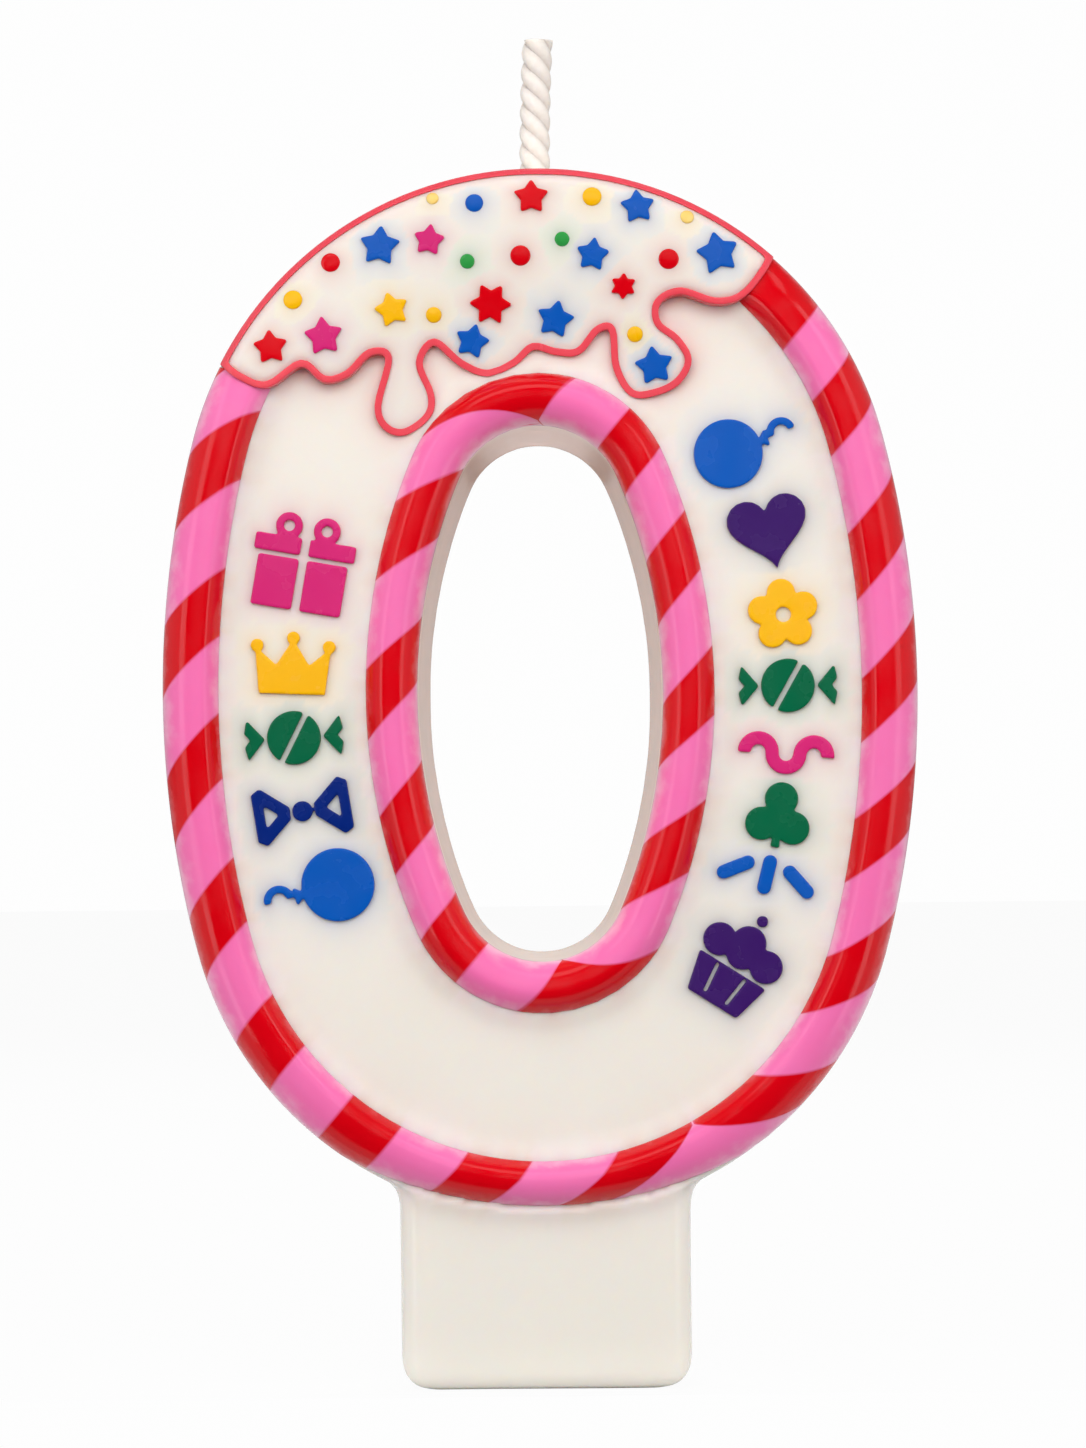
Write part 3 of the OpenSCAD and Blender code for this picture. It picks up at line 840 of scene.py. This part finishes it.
@dataclass
class WaxBody:
    """The white casting: the digit, its foot and the wax around the wick."""

    layout: Layout
    cast: Cast = Cast(0.36 * MM, 20)
    waves: float = 0.03 * MM  # height of the slow waves that cooling leaves
    wave_scale: float = 90.0  # waves in a metre
    ripple: float = 0.4  # height of the ripples on them, as a share
    face_band: float = 0.25 * MM  # how near to the front a point has to be to creep up the rolls
    shine: Colour = (0.90, 0.30, 0.10)  # colour that the rolls shine through the wax to the hole's wall, painted on it as glow and shade
    wall_share: float = 0.30  # how much of it the upright parts of the wall take
    wall_turn: float = 0.14  # painted shade: how much more the downward-facing top of the hole takes, and how much less the upward-facing bottom
    wall_start: float = 0.9 * MM  # how far around the hole the wall takes it
    wall_fade: float = 1.0 * MM  # the distance in which it comes to its full share

    def build(self, dresser: Dresser) -> None:
        """Builds and dresses the casting.

        Args:
            dresser: Makes the piece.
        """
        bm = dresser.softened("wax_body", self.cast)
        for vert in bm.verts:
            self._settle(vert)
        made = dresser.piece(bm, "wax_body", Slot.WHITE)
        self._paint_wall_light(made.data)

    def _settle(self, vert: bmesh.types.BMVert) -> None:
        """Moves a point as slow cooling leaves it, a little off the true shape.

        Args:
            vert: The point.
        """
        place = vert.co * self.wave_scale
        swell = noise.noise(place) + self.ripple * noise.noise(place * 2)
        vert.co += vert.normal * (self.waves * swell)
        if abs(vert.co.y - self.layout.face_y) < self.face_band:
            vert.co.y -= self.layout.creep(vert.co.x, vert.co.z)

    def _paint_wall_light(self, mesh: bpy.types.Mesh) -> None:
        """Paints the rolls' light that reaches the hole's wall through the wax onto it as a warm tint, with
        painted shade that is strongest on the top of the hole, which faces down.

        Args:
            mesh: The casting's mesh.
        """
        painted_light = mesh.attributes[Attribute.PAINTED_LIGHT.value]
        for vert, value in zip(mesh.vertices, painted_light.data):
            deep = vert.co.y - self.layout.face_y
            inside = self.wall_start - self.layout.hole.outside(vert.co.x, vert.co.z)
            share = held(inside / self.wall_fade) * held(deep / self.wall_fade)
            if share > 0:
                value.color = (*self.shine, share * (self.wall_share - self.wall_turn * vert.normal.z))


@dataclass(frozen=True)
class RollEnd:
    """Where a roll runs under the icing: a straight cut across it, seen from the front."""

    inside: Pair  # x and z of the cut's end nearer the digit's middle
    outside: Pair  # x and z of its other end
    side: int  # 1 where the icing is to the left of the way from inside to outside, or else -1

    @property
    def normal(self) -> Pair:
        """The direction across the cut, towards the icing."""
        x, z = self.outside[0] - self.inside[0], self.outside[1] - self.inside[1]
        long = math.hypot(x, z)
        return -self.side * z / long, self.side * x / long

    def beyond(self, x: float, z: float) -> float:
        """Measures how far a place is past the cut, or below zero how far before it."""
        across, up = self.normal
        return (x - self.inside[0]) * across + (z - self.inside[1]) * up

    def away(self, x: float, z: float) -> float:
        """Measures how far a place is from the cut's inner end."""
        return math.hypot(x - self.inside[0], z - self.inside[1])


@dataclass(frozen=True)
class RollSection:
    """A roll's section: a free flank that turns down at the edge of the wax, and a low one."""

    width: float
    crown: float  # height above the front
    crown_at: float  # from -1 beside the channel to 1 at the free edge
    step: float  # height beside the channel, as a share of the crown's
    drop: float  # how far behind the front the free flank ends
    sunk: float = 0.6 * MM  # how far the roll reaches into the wax behind it
    belly: float = 0.3 * MM  # how much further its underside does in the middle
    curl: float = 0.55  # how much longer the stripes' way over the free flank is

    def skin(self, turn: float) -> Pair:
        """Gives a point of the roll's skin.

        Args:
            turn: The angle from the crown, from a right angle on the free flank to less than zero.

        Returns:
            The point's place across, from -1 to 1, and its height above the front.
        """
        if turn > 0:
            across = self.crown_at + (1 - self.crown_at) * math.sin(turn)
            return across, (self.crown + self.drop) * math.cos(turn) - self.drop
        share = -turn / RIGHT_ANGLE
        across = self.crown_at - (1 + self.crown_at) * share
        return across, self.crown * (1 - (1 - self.step) * share**2)

    def base(self, side: float) -> float:
        """Gives the height of the roll's underside above the front, at a place across from -1 to 1."""
        share = (side + 1) / 2
        return -self.sunk * (1 - share) - self.drop * share - self.belly * (1 - side * side)

    def wrap(self, across: float, turn: float) -> float:
        """Gives how far round the skin a point lies from its middle, as a share of half the width."""
        return across + self.curl * (1 - self.crown_at) * max(0.0, turn - math.sin(turn))


@dataclass(frozen=True)
class Drift:
    """A stretch of a roll where the stripes lie off their even places."""

    at: float  # middle of the stretch, as a share of the way round
    back: float  # how far back along the roll the stripes lie there
    spread: float  # how far along it they come back to their places

    def shift(self, share: float, length: float) -> float:
        """Gives how far back a stripe lies, from its even share of a way round of some length."""
        away = ((share - self.at + 0.5) % 1.0 - 0.5) * length
        return self.back * math.exp(-0.5 * (away / self.spread) ** 2)


@dataclass
class StripedRoll:
    """A roll of wax in red and pink lengths, laid round an oval."""

    layout: Layout
    line: Oval  # the roll's middle
    section: RollSection
    free: int  # 1 where the free flank is the outer one, or -1 where it is the inner one
    pairs: int  # pairs of red and pink lengths
    phase: float  # middle of the first red length, as a share of the way round
    red_share: float = 0.46
    slope: float = math.radians(50)  # of the stripes, from level
    flip: float = math.radians(22)  # angle to the roll below which a stripe's edge leans the other way
    least: float = math.radians(45)  # angle to the roll of the edges that do
    spread: float = 0.95  # how much of their own lean they keep
    seam: float = 0.12 * MM  # least length of a stripe where two others close on it
    run: float = 0.5  # how much of the next colour shows where two lengths meet
    low_edge: float = 0.75  # how near to an edge of its paint, and how far into its painted sheen, the roll comes beside the channel
    on_foot: bool = False  # whether the foot's wax comes up over the free flank
    dip: float = 0.55 * MM  # how far the roll sinks where it runs under the icing
    dip_reach: float = 3 * MM  # how far before the icing it begins to
    end_reach: float = 9 * MM  # how near to a cut's inner end it does
    around: int = 48  # faces around the roll
    along: int = 10  # faces along each length
    ends: tuple[RollEnd, ...] = ()
    drifts: tuple[Drift, ...] = ()

    @property
    def pair(self) -> float:
        """Length of a red and a pink stripe together."""
        return self.line.length / self.pairs

    @property
    def half(self) -> float:
        """Half the roll's width."""
        return self.section.width / 2

    def build(self, dresser: Dresser, name: str) -> None:
        """Builds and dresses the red lengths and the pink ones.

        Args:
            dresser: Makes the pieces.
            name: What the roll's nodes begin with.
        """
        red, pink = bmesh.new(), bmesh.new()
        for bm in (red, pink):
            bm.verts.layers.float.new(Attribute.EDGE.value)
            bm.verts.layers.float.new(Attribute.RUN.value)
        for first in range(2 * self.pairs):
            middle = (self._edge(first) + self._edge(first + 1)) / 2
            x, z, _ = self.line.place(middle)
            beyond = [end.beyond(x, z) for end in self.ends]
            if min(beyond, default=-1.0) < self.pair:
                self._length(pink if first % 2 else red, first)
        LOG.info("%s: %.1f mm a pair", name, self.pair / MM)
        dresser.piece(red, f"{name}_red", Slot.RED)
        dresser.piece(pink, f"{name}_pink", Slot.PINK)

    def _edge(self, number: int) -> float:
        """Gives where a stripe's edge crosses the middle line.

        Args:
            number: The edge's number, where an even one begins a red length.

        Returns:
            The distance from the line's lowest point.
        """
        pair, odd = divmod(number, 2)
        share = self.phase + (pair + (0.5 if odd else -0.5) * self.red_share) / self.pairs
        back = sum(drift.shift(share, self.line.length) for drift in self.drifts)
        return share * self.line.length - back

    def _skew(self, number: int) -> float:
        """Gives how steeply a stripe's edge crosses the roll.

        Args:
            number: The edge's number.

        Returns:
            The way that the edge goes along the roll for each unit across it.
        """
        outward = self.line.place(self._edge(number))[2]
        run = outward + RIGHT_ANGLE
        lean = (self.slope - run + RIGHT_ANGLE) % math.pi - RIGHT_ANGLE
        if -self.least < lean < self.flip:
            lean = self.spread * max(0.0, lean) - self.least
        return -1.0 / math.tan(lean)

    def _crossing(self, number: int, wrap: float) -> float:
        """Gives where a stripe's edge is along the line, at a place across the roll's skin."""
        return self._edge(number) + self._skew(number) * self.free * self.half * wrap

    def _held(self, number: int, wrap: float) -> float:
        """Keeps a stripe's edge from passing its neighbours.

        Args:
            number: The edge's number.
            wrap: The place across, as a share of half the width.

        Returns:
            The distance from the line's lowest point.
        """
        here = self._crossing(number, wrap)
        before, after = self._crossing(number - 1, wrap), self._crossing(number + 1, wrap)
        if before > here - self.seam:
            return (before + here + self.seam) / 2
        if after < here + self.seam:
            return (after + here - self.seam) / 2
        return here

    def _length(self, bm: Shape, first: int) -> None:
        """Adds one length of the roll.

        Args:
            bm: Where it goes.
            first: Number of the edge that it begins at.
        """
        bmesh.ops.create_cone(bm, cap_ends=True, segments=self.around, radius1=1.0, radius2=1.0, depth=1.0)
        rails = [e for e in bm.edges if not e.tag and abs(e.verts[0].co.z - e.verts[1].co.z) > 0.5]
        bmesh.ops.subdivide_edges(bm, edges=rails, cuts=self.along - 1)
        rod = [v for v in bm.verts if not v.tag]
        tips = {v for v in rod if abs(abs(v.co.z) - 0.5) < TINY}
        edge_layer = bm.verts.layers.float[Attribute.EDGE.value]
        run_layer = bm.verts.layers.float[Attribute.RUN.value]
        for vert in rod:
            vert[run_layer] = self.run if vert in tips else 0.0
            vert.co, vert[edge_layer] = self._laid(vert.co.copy(), first)
        faces = dict.fromkeys(f for v in rod for f in v.link_faces)
        bmesh.ops.recalc_face_normals(bm, faces=list(faces))
        for rim in (e for v in tips for e in v.link_edges):
            if tips.issuperset(rim.verts):
                rim.smooth = False
        for end in self.ends:
            self._cut(bm, end)
        for part in (*bm.verts, *bm.edges):
            part.tag = True

    def _laid(self, point: Vector, first: int) -> tuple[Vector, float]:
        """Lays a point of a straight rod on the roll.

        Args:
            point: The point, on an upright rod of length 1 and radius 1.
            first: Number of the edge that the length begins at.

        Returns:
            The point's place on the candle, and how near to an edge of the paint it is, which also sets the
            painted sheen on the flanks.
        """
        side = max(-1.0, min(1.0, point.x))
        turn = math.asin(side)
        across, level = self.section.skin(turn) if point.y > -TINY else (side, self.section.base(side))
        wrap = self.section.wrap(across, turn)
        share = eased(point.z + 0.5)
        way = (1 - share) * self._held(first, wrap) + share * self._held(first + 1, wrap)
        x, z, angle = self.line.place(way)
        if self.on_foot and z < self.line.centre_z and turn > 0:
            across -= self.layout.foot_cover(x) * side / self.half
        level -= self._sinking(x, z) * max(0.0, level) / self.section.crown
        reach = self.free * across * self.half
        # How far down a flank the point is: the paint thins there and a sheen is painted on
        edge = abs(turn) / RIGHT_ANGLE * (1.0 if turn > 0 else self.low_edge)
        x += reach * math.cos(angle)
        z += reach * math.sin(angle)
        return Vector((x, self.layout.face_y - level, z)), edge

    def _sinking(self, x: float, z: float) -> float:
        """Gives how far the roll has sunk on its way under the icing.

        Args:
            x: Place across the candle.
            z: Height above the table.

        Returns:
            The distance.
        """
        share = 0.0
        for end in self.ends:
            beyond = end.beyond(x, z)
            if abs(beyond) < self.dip_reach and end.away(x, z) < self.end_reach:
                share = max(share, 1 + beyond / self.dip_reach)
        return self.dip * eased(min(1.0, share))

    def _cut(self, bm: Shape, end: RollEnd) -> None:
        """Cuts the newest length where the icing begins, if it reaches that far.

        Args:
            bm: Where the length is.
            end: Where the roll ends.
        """
        rod = [v for v in bm.verts if not v.tag]
        if min((end.away(v.co.x, v.co.z) for v in rod), default=math.inf) > self.pair:
            return
        edges = [e for v in rod for e in v.link_edges]
        faces = [f for v in rod for f in v.link_faces]
        across, up = end.normal
        made = bmesh.ops.bisect_plane(
            bm, geom=list(dict.fromkeys((*rod, *edges, *faces))), clear_outer=True,
            plane_co=(end.inside[0], 0.0, end.inside[1]), plane_no=(across, 0.0, up),
        )
        rim = [e for e in made["geom_cut"] if isinstance(e, bmesh.types.BMEdge)]
        bmesh.ops.holes_fill(bm, edges=rim)
        for edge in rim:
            edge.smooth = False


def digit_roll(layout: Layout) -> StripedRoll:
    """Plans the roll around the digit, which runs under the icing on both sides.

    Args:
        layout: The candle's driving sizes.

    Returns:
        The roll.
    """
    centre = layout.digit.centre_z
    return StripedRoll(
        layout,
        line=layout.digit.grown(-layout.outer_w / 2),
        section=RollSection(layout.outer_w, layout.crown, crown_at=-0.35, step=0.27, drop=0.8 * MM),
        free=1,
        pairs=19,
        phase=0.042,
        on_foot=True,
        ends=(
            RollEnd((14.1 * MM, centre + 27.4 * MM), (16.5 * MM, centre + 30.5 * MM), side=1),
            RollEnd((-18.7 * MM, centre + 21.5 * MM), (-22.2 * MM, centre + 23.1 * MM), side=-1),
        ),
        drifts=(
            Drift(at=0.0, back=2.6 * MM, spread=13 * MM),
            Drift(at=0.405, back=2.2 * MM, spread=4.5 * MM),
            Drift(at=0.652, back=2.2 * MM, spread=6.5 * MM),
        ),
    )


def hole_roll(layout: Layout) -> StripedRoll:
    """Plans the roll around the hole.

    Args:
        layout: The candle's driving sizes.

    Returns:
        The roll.
    """
    return StripedRoll(
        layout,
        line=layout.hole.grown(layout.inner_w / 2),
        section=RollSection(layout.inner_w, layout.crown, crown_at=-0.1, step=0.26, drop=0.5 * MM),
        free=-1,
        pairs=10,
        phase=0.04,
        drifts=(
            Drift(at=0.0, back=1.8 * MM, spread=8 * MM),
            Drift(at=0.525, back=2.9 * MM, spread=8 * MM),
        ),
    )


@dataclass
class Icing:
    """The white icing over the top of the front, its red line and the sprinkles on it."""

    layout: Layout
    shoulder: float = 2.2 * MM  # how far in from the digit's edge the icing reaches its full height
    height: float = 1.35 * MM
    level: float = 3.0 * MM  # how far in it stays that high
    settled: float = 15 * MM  # how far in it comes down to its least height
    low: float = 0.25 * MM  # least height
    clear: float = 0.1 * MM  # how far it stands out from the wax that creeps up beside the rolls
    thinnest: float = 0.3 * MM  # height at the digit's edge
    line_lift: float = 0.06 * MM  # how far the line stands out from the icing
    seat: float = 0.1 * MM  # how near to the front the underside begins
    sprinkle_seat: float = 0.01 * MM  # how near to the icing the sprinkles' underside does
    sunk: float = 0.5 * MM  # how far the undersides reach into what is behind them
    sprinkle_relief: float = 0.4  # share of their packed height that the sprinkles keep
    pale_dots: tuple[Pair, ...] = ((-0.27, 0.94), (0.40, 0.90))  # shares of the digit's half sizes
    pale_reach: float = 1.0 * MM  # how near to such a place a dot is pale
    layer_cast: Cast = Cast(0.22 * MM, 8, 0.42 * MM)
    line_cast: Cast = Cast(0.09 * MM, 5, -0.04 * MM)
    sprinkle_cast: Cast = Cast(0.07 * MM, 8, 0.06 * MM)

    STARS = {"blue": Slot.BLUE, "red": Slot.RED, "pink": Slot.MAGENTA, "yellow": Slot.YELLOW}
    DOTS = {"red": Slot.RED, "yellow": Slot.YELLOW, "green": Slot.LEAF, "blue": Slot.BLUE}

    def build(self, dresser: Dresser) -> None:
        """Builds and dresses the icing, its line and its sprinkles.

        Args:
            dresser: Makes the pieces.
        """
        self._draped(dresser, "icing_outline", Slot.CORAL, self.line_cast, self.line_lift)
        for kind, colours in (("stars", self.STARS), ("dots", self.DOTS)):
            for colour, slot in colours.items():
                self._sprinkles(dresser, f"{kind}_{colour}", slot)
        self._draped(dresser, "icing_layer", Slot.WHITE, self.layer_cast, 0.0)

    def top(self, x: float, z: float) -> float:
        """Gives the icing's height above the front.

        Args:
            x: Place across.
            z: Height above the table.

        Returns:
            The height, which falls to nothing at the digit's edge.
        """
        inside = max(0.0, -self.layout.digit.outside(x, z))
        if inside < self.shoulder:
            return self.height * math.sqrt(1.0 - (1.0 - inside / self.shoulder) ** 2)
        share = held((inside - self.level) / (self.settled - self.level))
        domed = self.low + (self.height - self.low) * (0.5 + 0.5 * math.cos(math.pi * share))
        return max(domed, self.layout.creep(x, z) + self.clear)

    def _draped(self, dresser: Dresser, node: str, slot: Slot, cast: Cast, lift: float) -> None:
        """Builds a layer that follows the icing's domed top.

        Args:
            dresser: Makes the piece.
            node: The node that the piece stands for.
            slot: The slot that it takes its finish from.
            cast: How soft its edges are.
            lift: How far it stands out from the icing's top.
        """
        face = self.layout.face_y
        bm = dresser.softened(node, cast, sinking(face - self.seat, self.sunk))
        full = face - min(vert.co.y for vert in bm.verts)
        for vert in bm.verts:
            up = face - vert.co.y
            if up > 0:
                top = max(self.top(vert.co.x, vert.co.z), self.thinnest)
                vert.co.y = face - up / full * (top + lift)
        dresser.piece(bm, node, slot)

    def _sprinkles(self, dresser: Dresser, node: str, slot: Slot) -> None:
        """Builds the sprinkles of one colour.

        Args:
            dresser: Makes the piece.
            node: The node that the piece stands for.
            slot: The slot that it takes its finish from.
        """
        base = self.layout.icing_y
        bm = dresser.softened(node, self.sprinkle_cast, sinking(base - self.sprinkle_seat, self.sunk))
        layer = bm.verts.layers.float.new(Attribute.EDGE.value)
        digit = self.layout.digit
        pale = [(x * digit.half_w, digit.centre_z + z * digit.half_h) for x, z in self.pale_dots]
        full = self.layout.face_y - base
        for vert in bm.verts:
            near = min(math.hypot(vert.co.x - x, vert.co.z - z) for x, z in pale)
            vert[layer] = 1.0 if near < self.pale_reach else 0.0
            kept = lowered(base - vert.co.y, self.sprinkle_relief)
            vert.co.y = base - kept - (self.top(vert.co.x, vert.co.z) - full)
        dresser.piece(bm, node, slot)


@dataclass
class Motifs:
    """The raised party motifs in the channel between the rolls."""

    layout: Layout
    cast: Cast = Cast(0.1 * MM, 5, 0.03 * MM)
    seat: float = 0.01 * MM  # how near to the front the underside begins
    sunk: float = 0.4 * MM  # how far it reaches into the wax behind it
    relief: float = 0.55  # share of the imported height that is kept

    SLOTS = {
        "left_gift": Slot.MAGENTA,
        "left_crown": Slot.YELLOW,
        "left_sweet": Slot.GREEN,
        "left_bow": Slot.NAVY,
        "left_balloon": Slot.BLUE,
        "right_balloon": Slot.BLUE,
        "right_heart": Slot.PURPLE,
        "right_flower": Slot.YELLOW,
        "right_sweet": Slot.GREEN,
        "right_streamer": Slot.MAGENTA,
        "right_clover": Slot.GREEN,
        "right_sprinkles": Slot.BLUE,
        "right_cupcake": Slot.PURPLE,
    }

    def build(self, dresser: Dresser) -> None:
        """Builds and dresses every motif.

        Args:
            dresser: Makes the pieces.
        """
        face = self.layout.face_y
        for node, slot in self.SLOTS.items():
            bm = dresser.softened(node, self.cast, sinking(face - self.seat, self.sunk))
            for vert in bm.verts:
                kept = lowered(face - vert.co.y, self.relief)
                vert.co.y = face - kept - self.layout.creep(vert.co.x, vert.co.z)
            dresser.piece(bm, node, slot)


@dataclass
class Wick:
    """A cord of three twisted plies, set in the top of the wax."""

    layout: Layout
    plies: int = 3
    ply_share: float = 0.7  # a ply's radius as a share of the cord's
    lay: float = 4.3 * MM  # length of one full turn
    lean: float = 0.3 * MM  # how far to the right the tip stands
    ridge: float = 0.97  # where the painted shade in the grooves between the plies begins, as a share of the radius
    groove_shade: float = 0.25  # how far into the grooves the painted shade comes to its full strength, as such a share
    steps: int = 40  # faces along each full turn
    around: int = 20  # faces around each ply

    def build(self, dresser: Dresser) -> None:
        """Builds and dresses the wick.

        Args:
            dresser: Makes the piece.
        """
        low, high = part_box("wick")
        radius = (high.x - low.x) / 2
        ply_r = radius * self.ply_share
        centre = Vector((0.0, (low.y + high.y) / 2, low.z))
        turns = (high.z - low.z) / self.lay
        bm = bmesh.new()
        for k in range(self.plies):
            self._ply(bm, centre, radius - ply_r, ply_r, math.tau * k / self.plies, turns)
        layer = bm.verts.layers.float.new(Attribute.EDGE.value)
        foot = self.layout.digit.centre_z + self.layout.digit.half_h
        for vert in bm.verts:
            out = math.hypot(vert.co.x - centre.x, vert.co.y - centre.y) / radius
            # Painted shade: points deeper between the plies are darker
            vert[layer] = held((self.ridge - out) / self.groove_shade)
            above = max(0.0, (vert.co.z - foot) / (high.z - foot))
            vert.co.x += self.lean * above**2
        dresser.piece(bm, "wick", Slot.COTTON)

    def _ply(
        self, bm: Shape, centre: Vector, offset: float, radius: float, first: float, turns: float
    ) -> None:
        """Adds one ply, a round strand that winds round the wick's middle.

        Args:
            bm: Where it goes.
            centre: The middle of the wick's lower end.
            offset: Distance of the strand's middle from the wick's.
            radius: The strand's radius.
            first: The angle round the wick that it begins at.
            turns: How often it goes round.
        """
        count = int(self.steps * turns)
        ring = bmesh.ops.create_circle(bm, segments=self.around, radius=radius)["verts"]
        aside = Matrix.Rotation(first, 4, "Z") @ Matrix.Translation((offset, 0, 0))
        bmesh.ops.transform(bm, matrix=Matrix.Translation(centre) @ aside, verts=ring)
        edges = dict.fromkeys(e for v in ring for e in v.link_edges)
        bmesh.ops.spin(
            bm, geom=[*ring, *edges], cent=centre, axis=(0, 0, 1), dvec=(0, 0, self.lay * turns / count),
            angle=-math.tau * turns, steps=count, use_merge=False, use_duplicate=False,
        )
        bmesh.ops.holes_fill(bm, edges=[e for e in bm.edges if e.is_boundary])
        bmesh.ops.recalc_face_normals(bm, faces=bm.faces)


# Studio


@dataclass(frozen=True)
class Floor:
    """A white floor that keeps the candle's shadow."""

    half: float = 2.0  # half of its side
    front: float = 0.007  # how far it reaches in front of the candle
    paper: float = 0.8  # share of the light that it gives back
    roughness: float = 0.9
    glow: float = 0.985  # how bright it shines by itself
    glow_share: float = 0.97  # how much of what the camera sees is that shine

    def build(self) -> None:
        """Lays the floor."""
        mesh = bpy.data.meshes.new("floor")
        bm = bmesh.new()
        bmesh.ops.create_grid(bm, x_segments=1, y_segments=1, size=self.half)
        bmesh.ops.translate(bm, vec=(0.0, self.half - self.front, 0.0), verts=bm.verts)
        bm.to_mesh(mesh)
        bm.free()
        mesh.materials.append(self._material())
        shown("floor", mesh)

    def _material(self) -> bpy.types.Material:
        """Builds the paper, which the camera sees as nearly white.

        Returns:
            The material.
        """
        made, kit, shader = new_material("paper")
        grey = (self.paper, self.paper, self.paper, 1.0)
        kit.fill(shader, Base_Color=grey, Roughness=self.roughness, Specular_IOR_Level=0.0)
        glow = kit.add("ShaderNodeEmission", Strength=self.glow)
        seen = kit.add("ShaderNodeLightPath").outputs["Is Camera Ray"]
        mixed = kit.add("ShaderNodeMixShader")
        kit.join(kit.math("MULTIPLY", seen, self.glow_share), mixed.inputs[0])
        kit.join(shader.outputs[0], mixed.inputs[1])
        kit.join(glow.outputs[0], mixed.inputs[2])
        kit.join(mixed.outputs[0], made.node_tree.nodes["Material Output"].inputs["Surface"])
        return made


@dataclass(frozen=True)
class Tent:
    """A white tent, open and dark on the camera's side and dimmer overhead and behind."""

    opening: Pair = (-0.57, -0.43)  # where the open side ends, from -1 at the camera's side to 1 opposite
    sides: Pair = (0.02, 0.55)  # light in the opening and beside it
    overhead: Pair = (0.4, 0.85)  # where the roof begins and is dimmest
    roof: Pair = (1.0, 0.3)  # shares of the light there
    behind: Pair = (0.0, 0.7)  # where the far side begins and is dimmest
    rear: Pair = (1.0, 0.83)  # shares of the light there
    seen: float = 0.988  # how bright it is to the camera

    def build(self) -> None:
        """Sets the tent around the scene."""
        world = bpy.data.worlds.new("tent")
        bpy.context.scene.world = world
        world.use_nodes = True
        kit = NodeKit(world.node_tree)
        sky = kit.fill(world.node_tree.nodes["Background"], Color=(1.0, 1.0, 1.0, 1.0))
        parts = kit.add("ShaderNodeSeparateXYZ")
        kit.join(kit.add("ShaderNodeTexCoord").outputs["Generated"], parts.inputs[0])
        sides = kit.remap(parts.outputs["Y"], self.opening, self.sides)
        roof = kit.remap(parts.outputs["Z"], self.overhead, self.roof)
        rear = kit.remap(parts.outputs["Y"], self.behind, self.rear)
        light = kit.math("MULTIPLY", kit.math("MULTIPLY", sides, roof), rear)
        seen = kit.math("MULTIPLY", kit.add("ShaderNodeLightPath").outputs["Is Camera Ray"], self.seen)
        kit.join(kit.math("MAXIMUM", light, seen), sky.inputs["Strength"])


@dataclass(frozen=True)
class SoftBox:
    """A soft box that faces the candle."""

    name: str
    place: Place
    size: Pair  # width and height
    power: float  # in watts
    mirrored: bool  # whether the wax mirrors it, or a filter takes its reflections off

    def build(self, aim: Vector) -> None:
        """Hangs the box.

        Args:
            aim: The point that it faces.
        """
        data = bpy.data.lights.new(self.name, "AREA")
        data.shape = "RECTANGLE"
        data.size, data.size_y = self.size
        data.energy = self.power
        lamp = shown(self.name, data)
        lamp.location = self.place
        lamp.rotation_euler = (aim - Vector(self.place)).to_track_quat("-Z", "Y").to_euler()
        lamp.visible_glossy = self.mirrored


SOFT_BOXES = (
    SoftBox("left_box", (-0.36, -0.25, 0.10), (0.12, 0.60), 0.36, mirrored=True),
    SoftBox("right_box", (0.36, -0.25, 0.10), (0.12, 0.60), 0.34, mirrored=True),
    SoftBox("top_box", (0.0, -0.20, 0.48), (0.50, 0.16), 0.32, mirrored=True),
    SoftBox("front_box", (0.0, -0.40, 0.235), (0.60, 0.36), 2.18, mirrored=False),
    SoftBox("rear_box", (0.0, 0.35, 0.42), (0.50, 0.30), 1.9, mirrored=False),
)


@dataclass
class Studio:
    """The floor, the light and the camera."""

    layout: Layout
    middle_x: float = 0.07 * MM  # middle of the picture
    middle_z: float = 46.8 * MM
    field_h: float = 101.4 * MM  # height of the picture there
    eye_z: float = 36.6 * MM  # height of the camera
    distance: float = 300 * MM  # of the camera from the candle's front
    roll: float = math.radians(0.6)  # how far the candle leans to the left in the picture
    sensor: float = 36.0  # height in millimetres
    clip: Pair = (0.01, 20.0)

    def build(self) -> None:
        """Builds the floor, the light and the camera."""
        Floor().build()
        Tent().build()
        for box in SOFT_BOXES:
            box.build(Vector((self.middle_x, self.layout.face_y, self.middle_z)))
        self._camera()

    def _camera(self) -> None:
        """Sets a level camera where the picture was taken from, with its lens raised to frame the candle."""
        data = bpy.data.cameras.new("camera")
        data.sensor_fit = "VERTICAL"
        data.sensor_height = self.sensor
        data.lens = self.sensor * self.distance / self.field_h
        data.shift_y = (self.middle_z - self.eye_z) / self.field_h
        data.clip_start, data.clip_end = self.clip
        camera = shown("camera", data)
        camera.location = (self.middle_x, self.layout.face_y - self.distance, self.eye_z)
        camera.rotation_euler = (RIGHT_ANGLE, self.roll, 0.0)
        bpy.context.scene.camera = camera
        bpy.context.scene.view_settings.view_transform = "Standard"


def main() -> None:
    """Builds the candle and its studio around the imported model."""
    logging.basicConfig(level=logging.INFO, format="%(message)s")
    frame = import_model()
    layout = Layout.from_frame()
    dresser = Dresser(frame["nodes"])
    digit_roll(layout).build(dresser, "outer_border")
    hole_roll(layout).build(dresser, "inner_border")
    Motifs(layout).build(dresser)
    Wick(layout).build(dresser)
    Icing(layout).build(dresser)
    WaxBody(layout).build(dresser)
    Studio(layout).build()


if __name__ == "__main__":
    main()
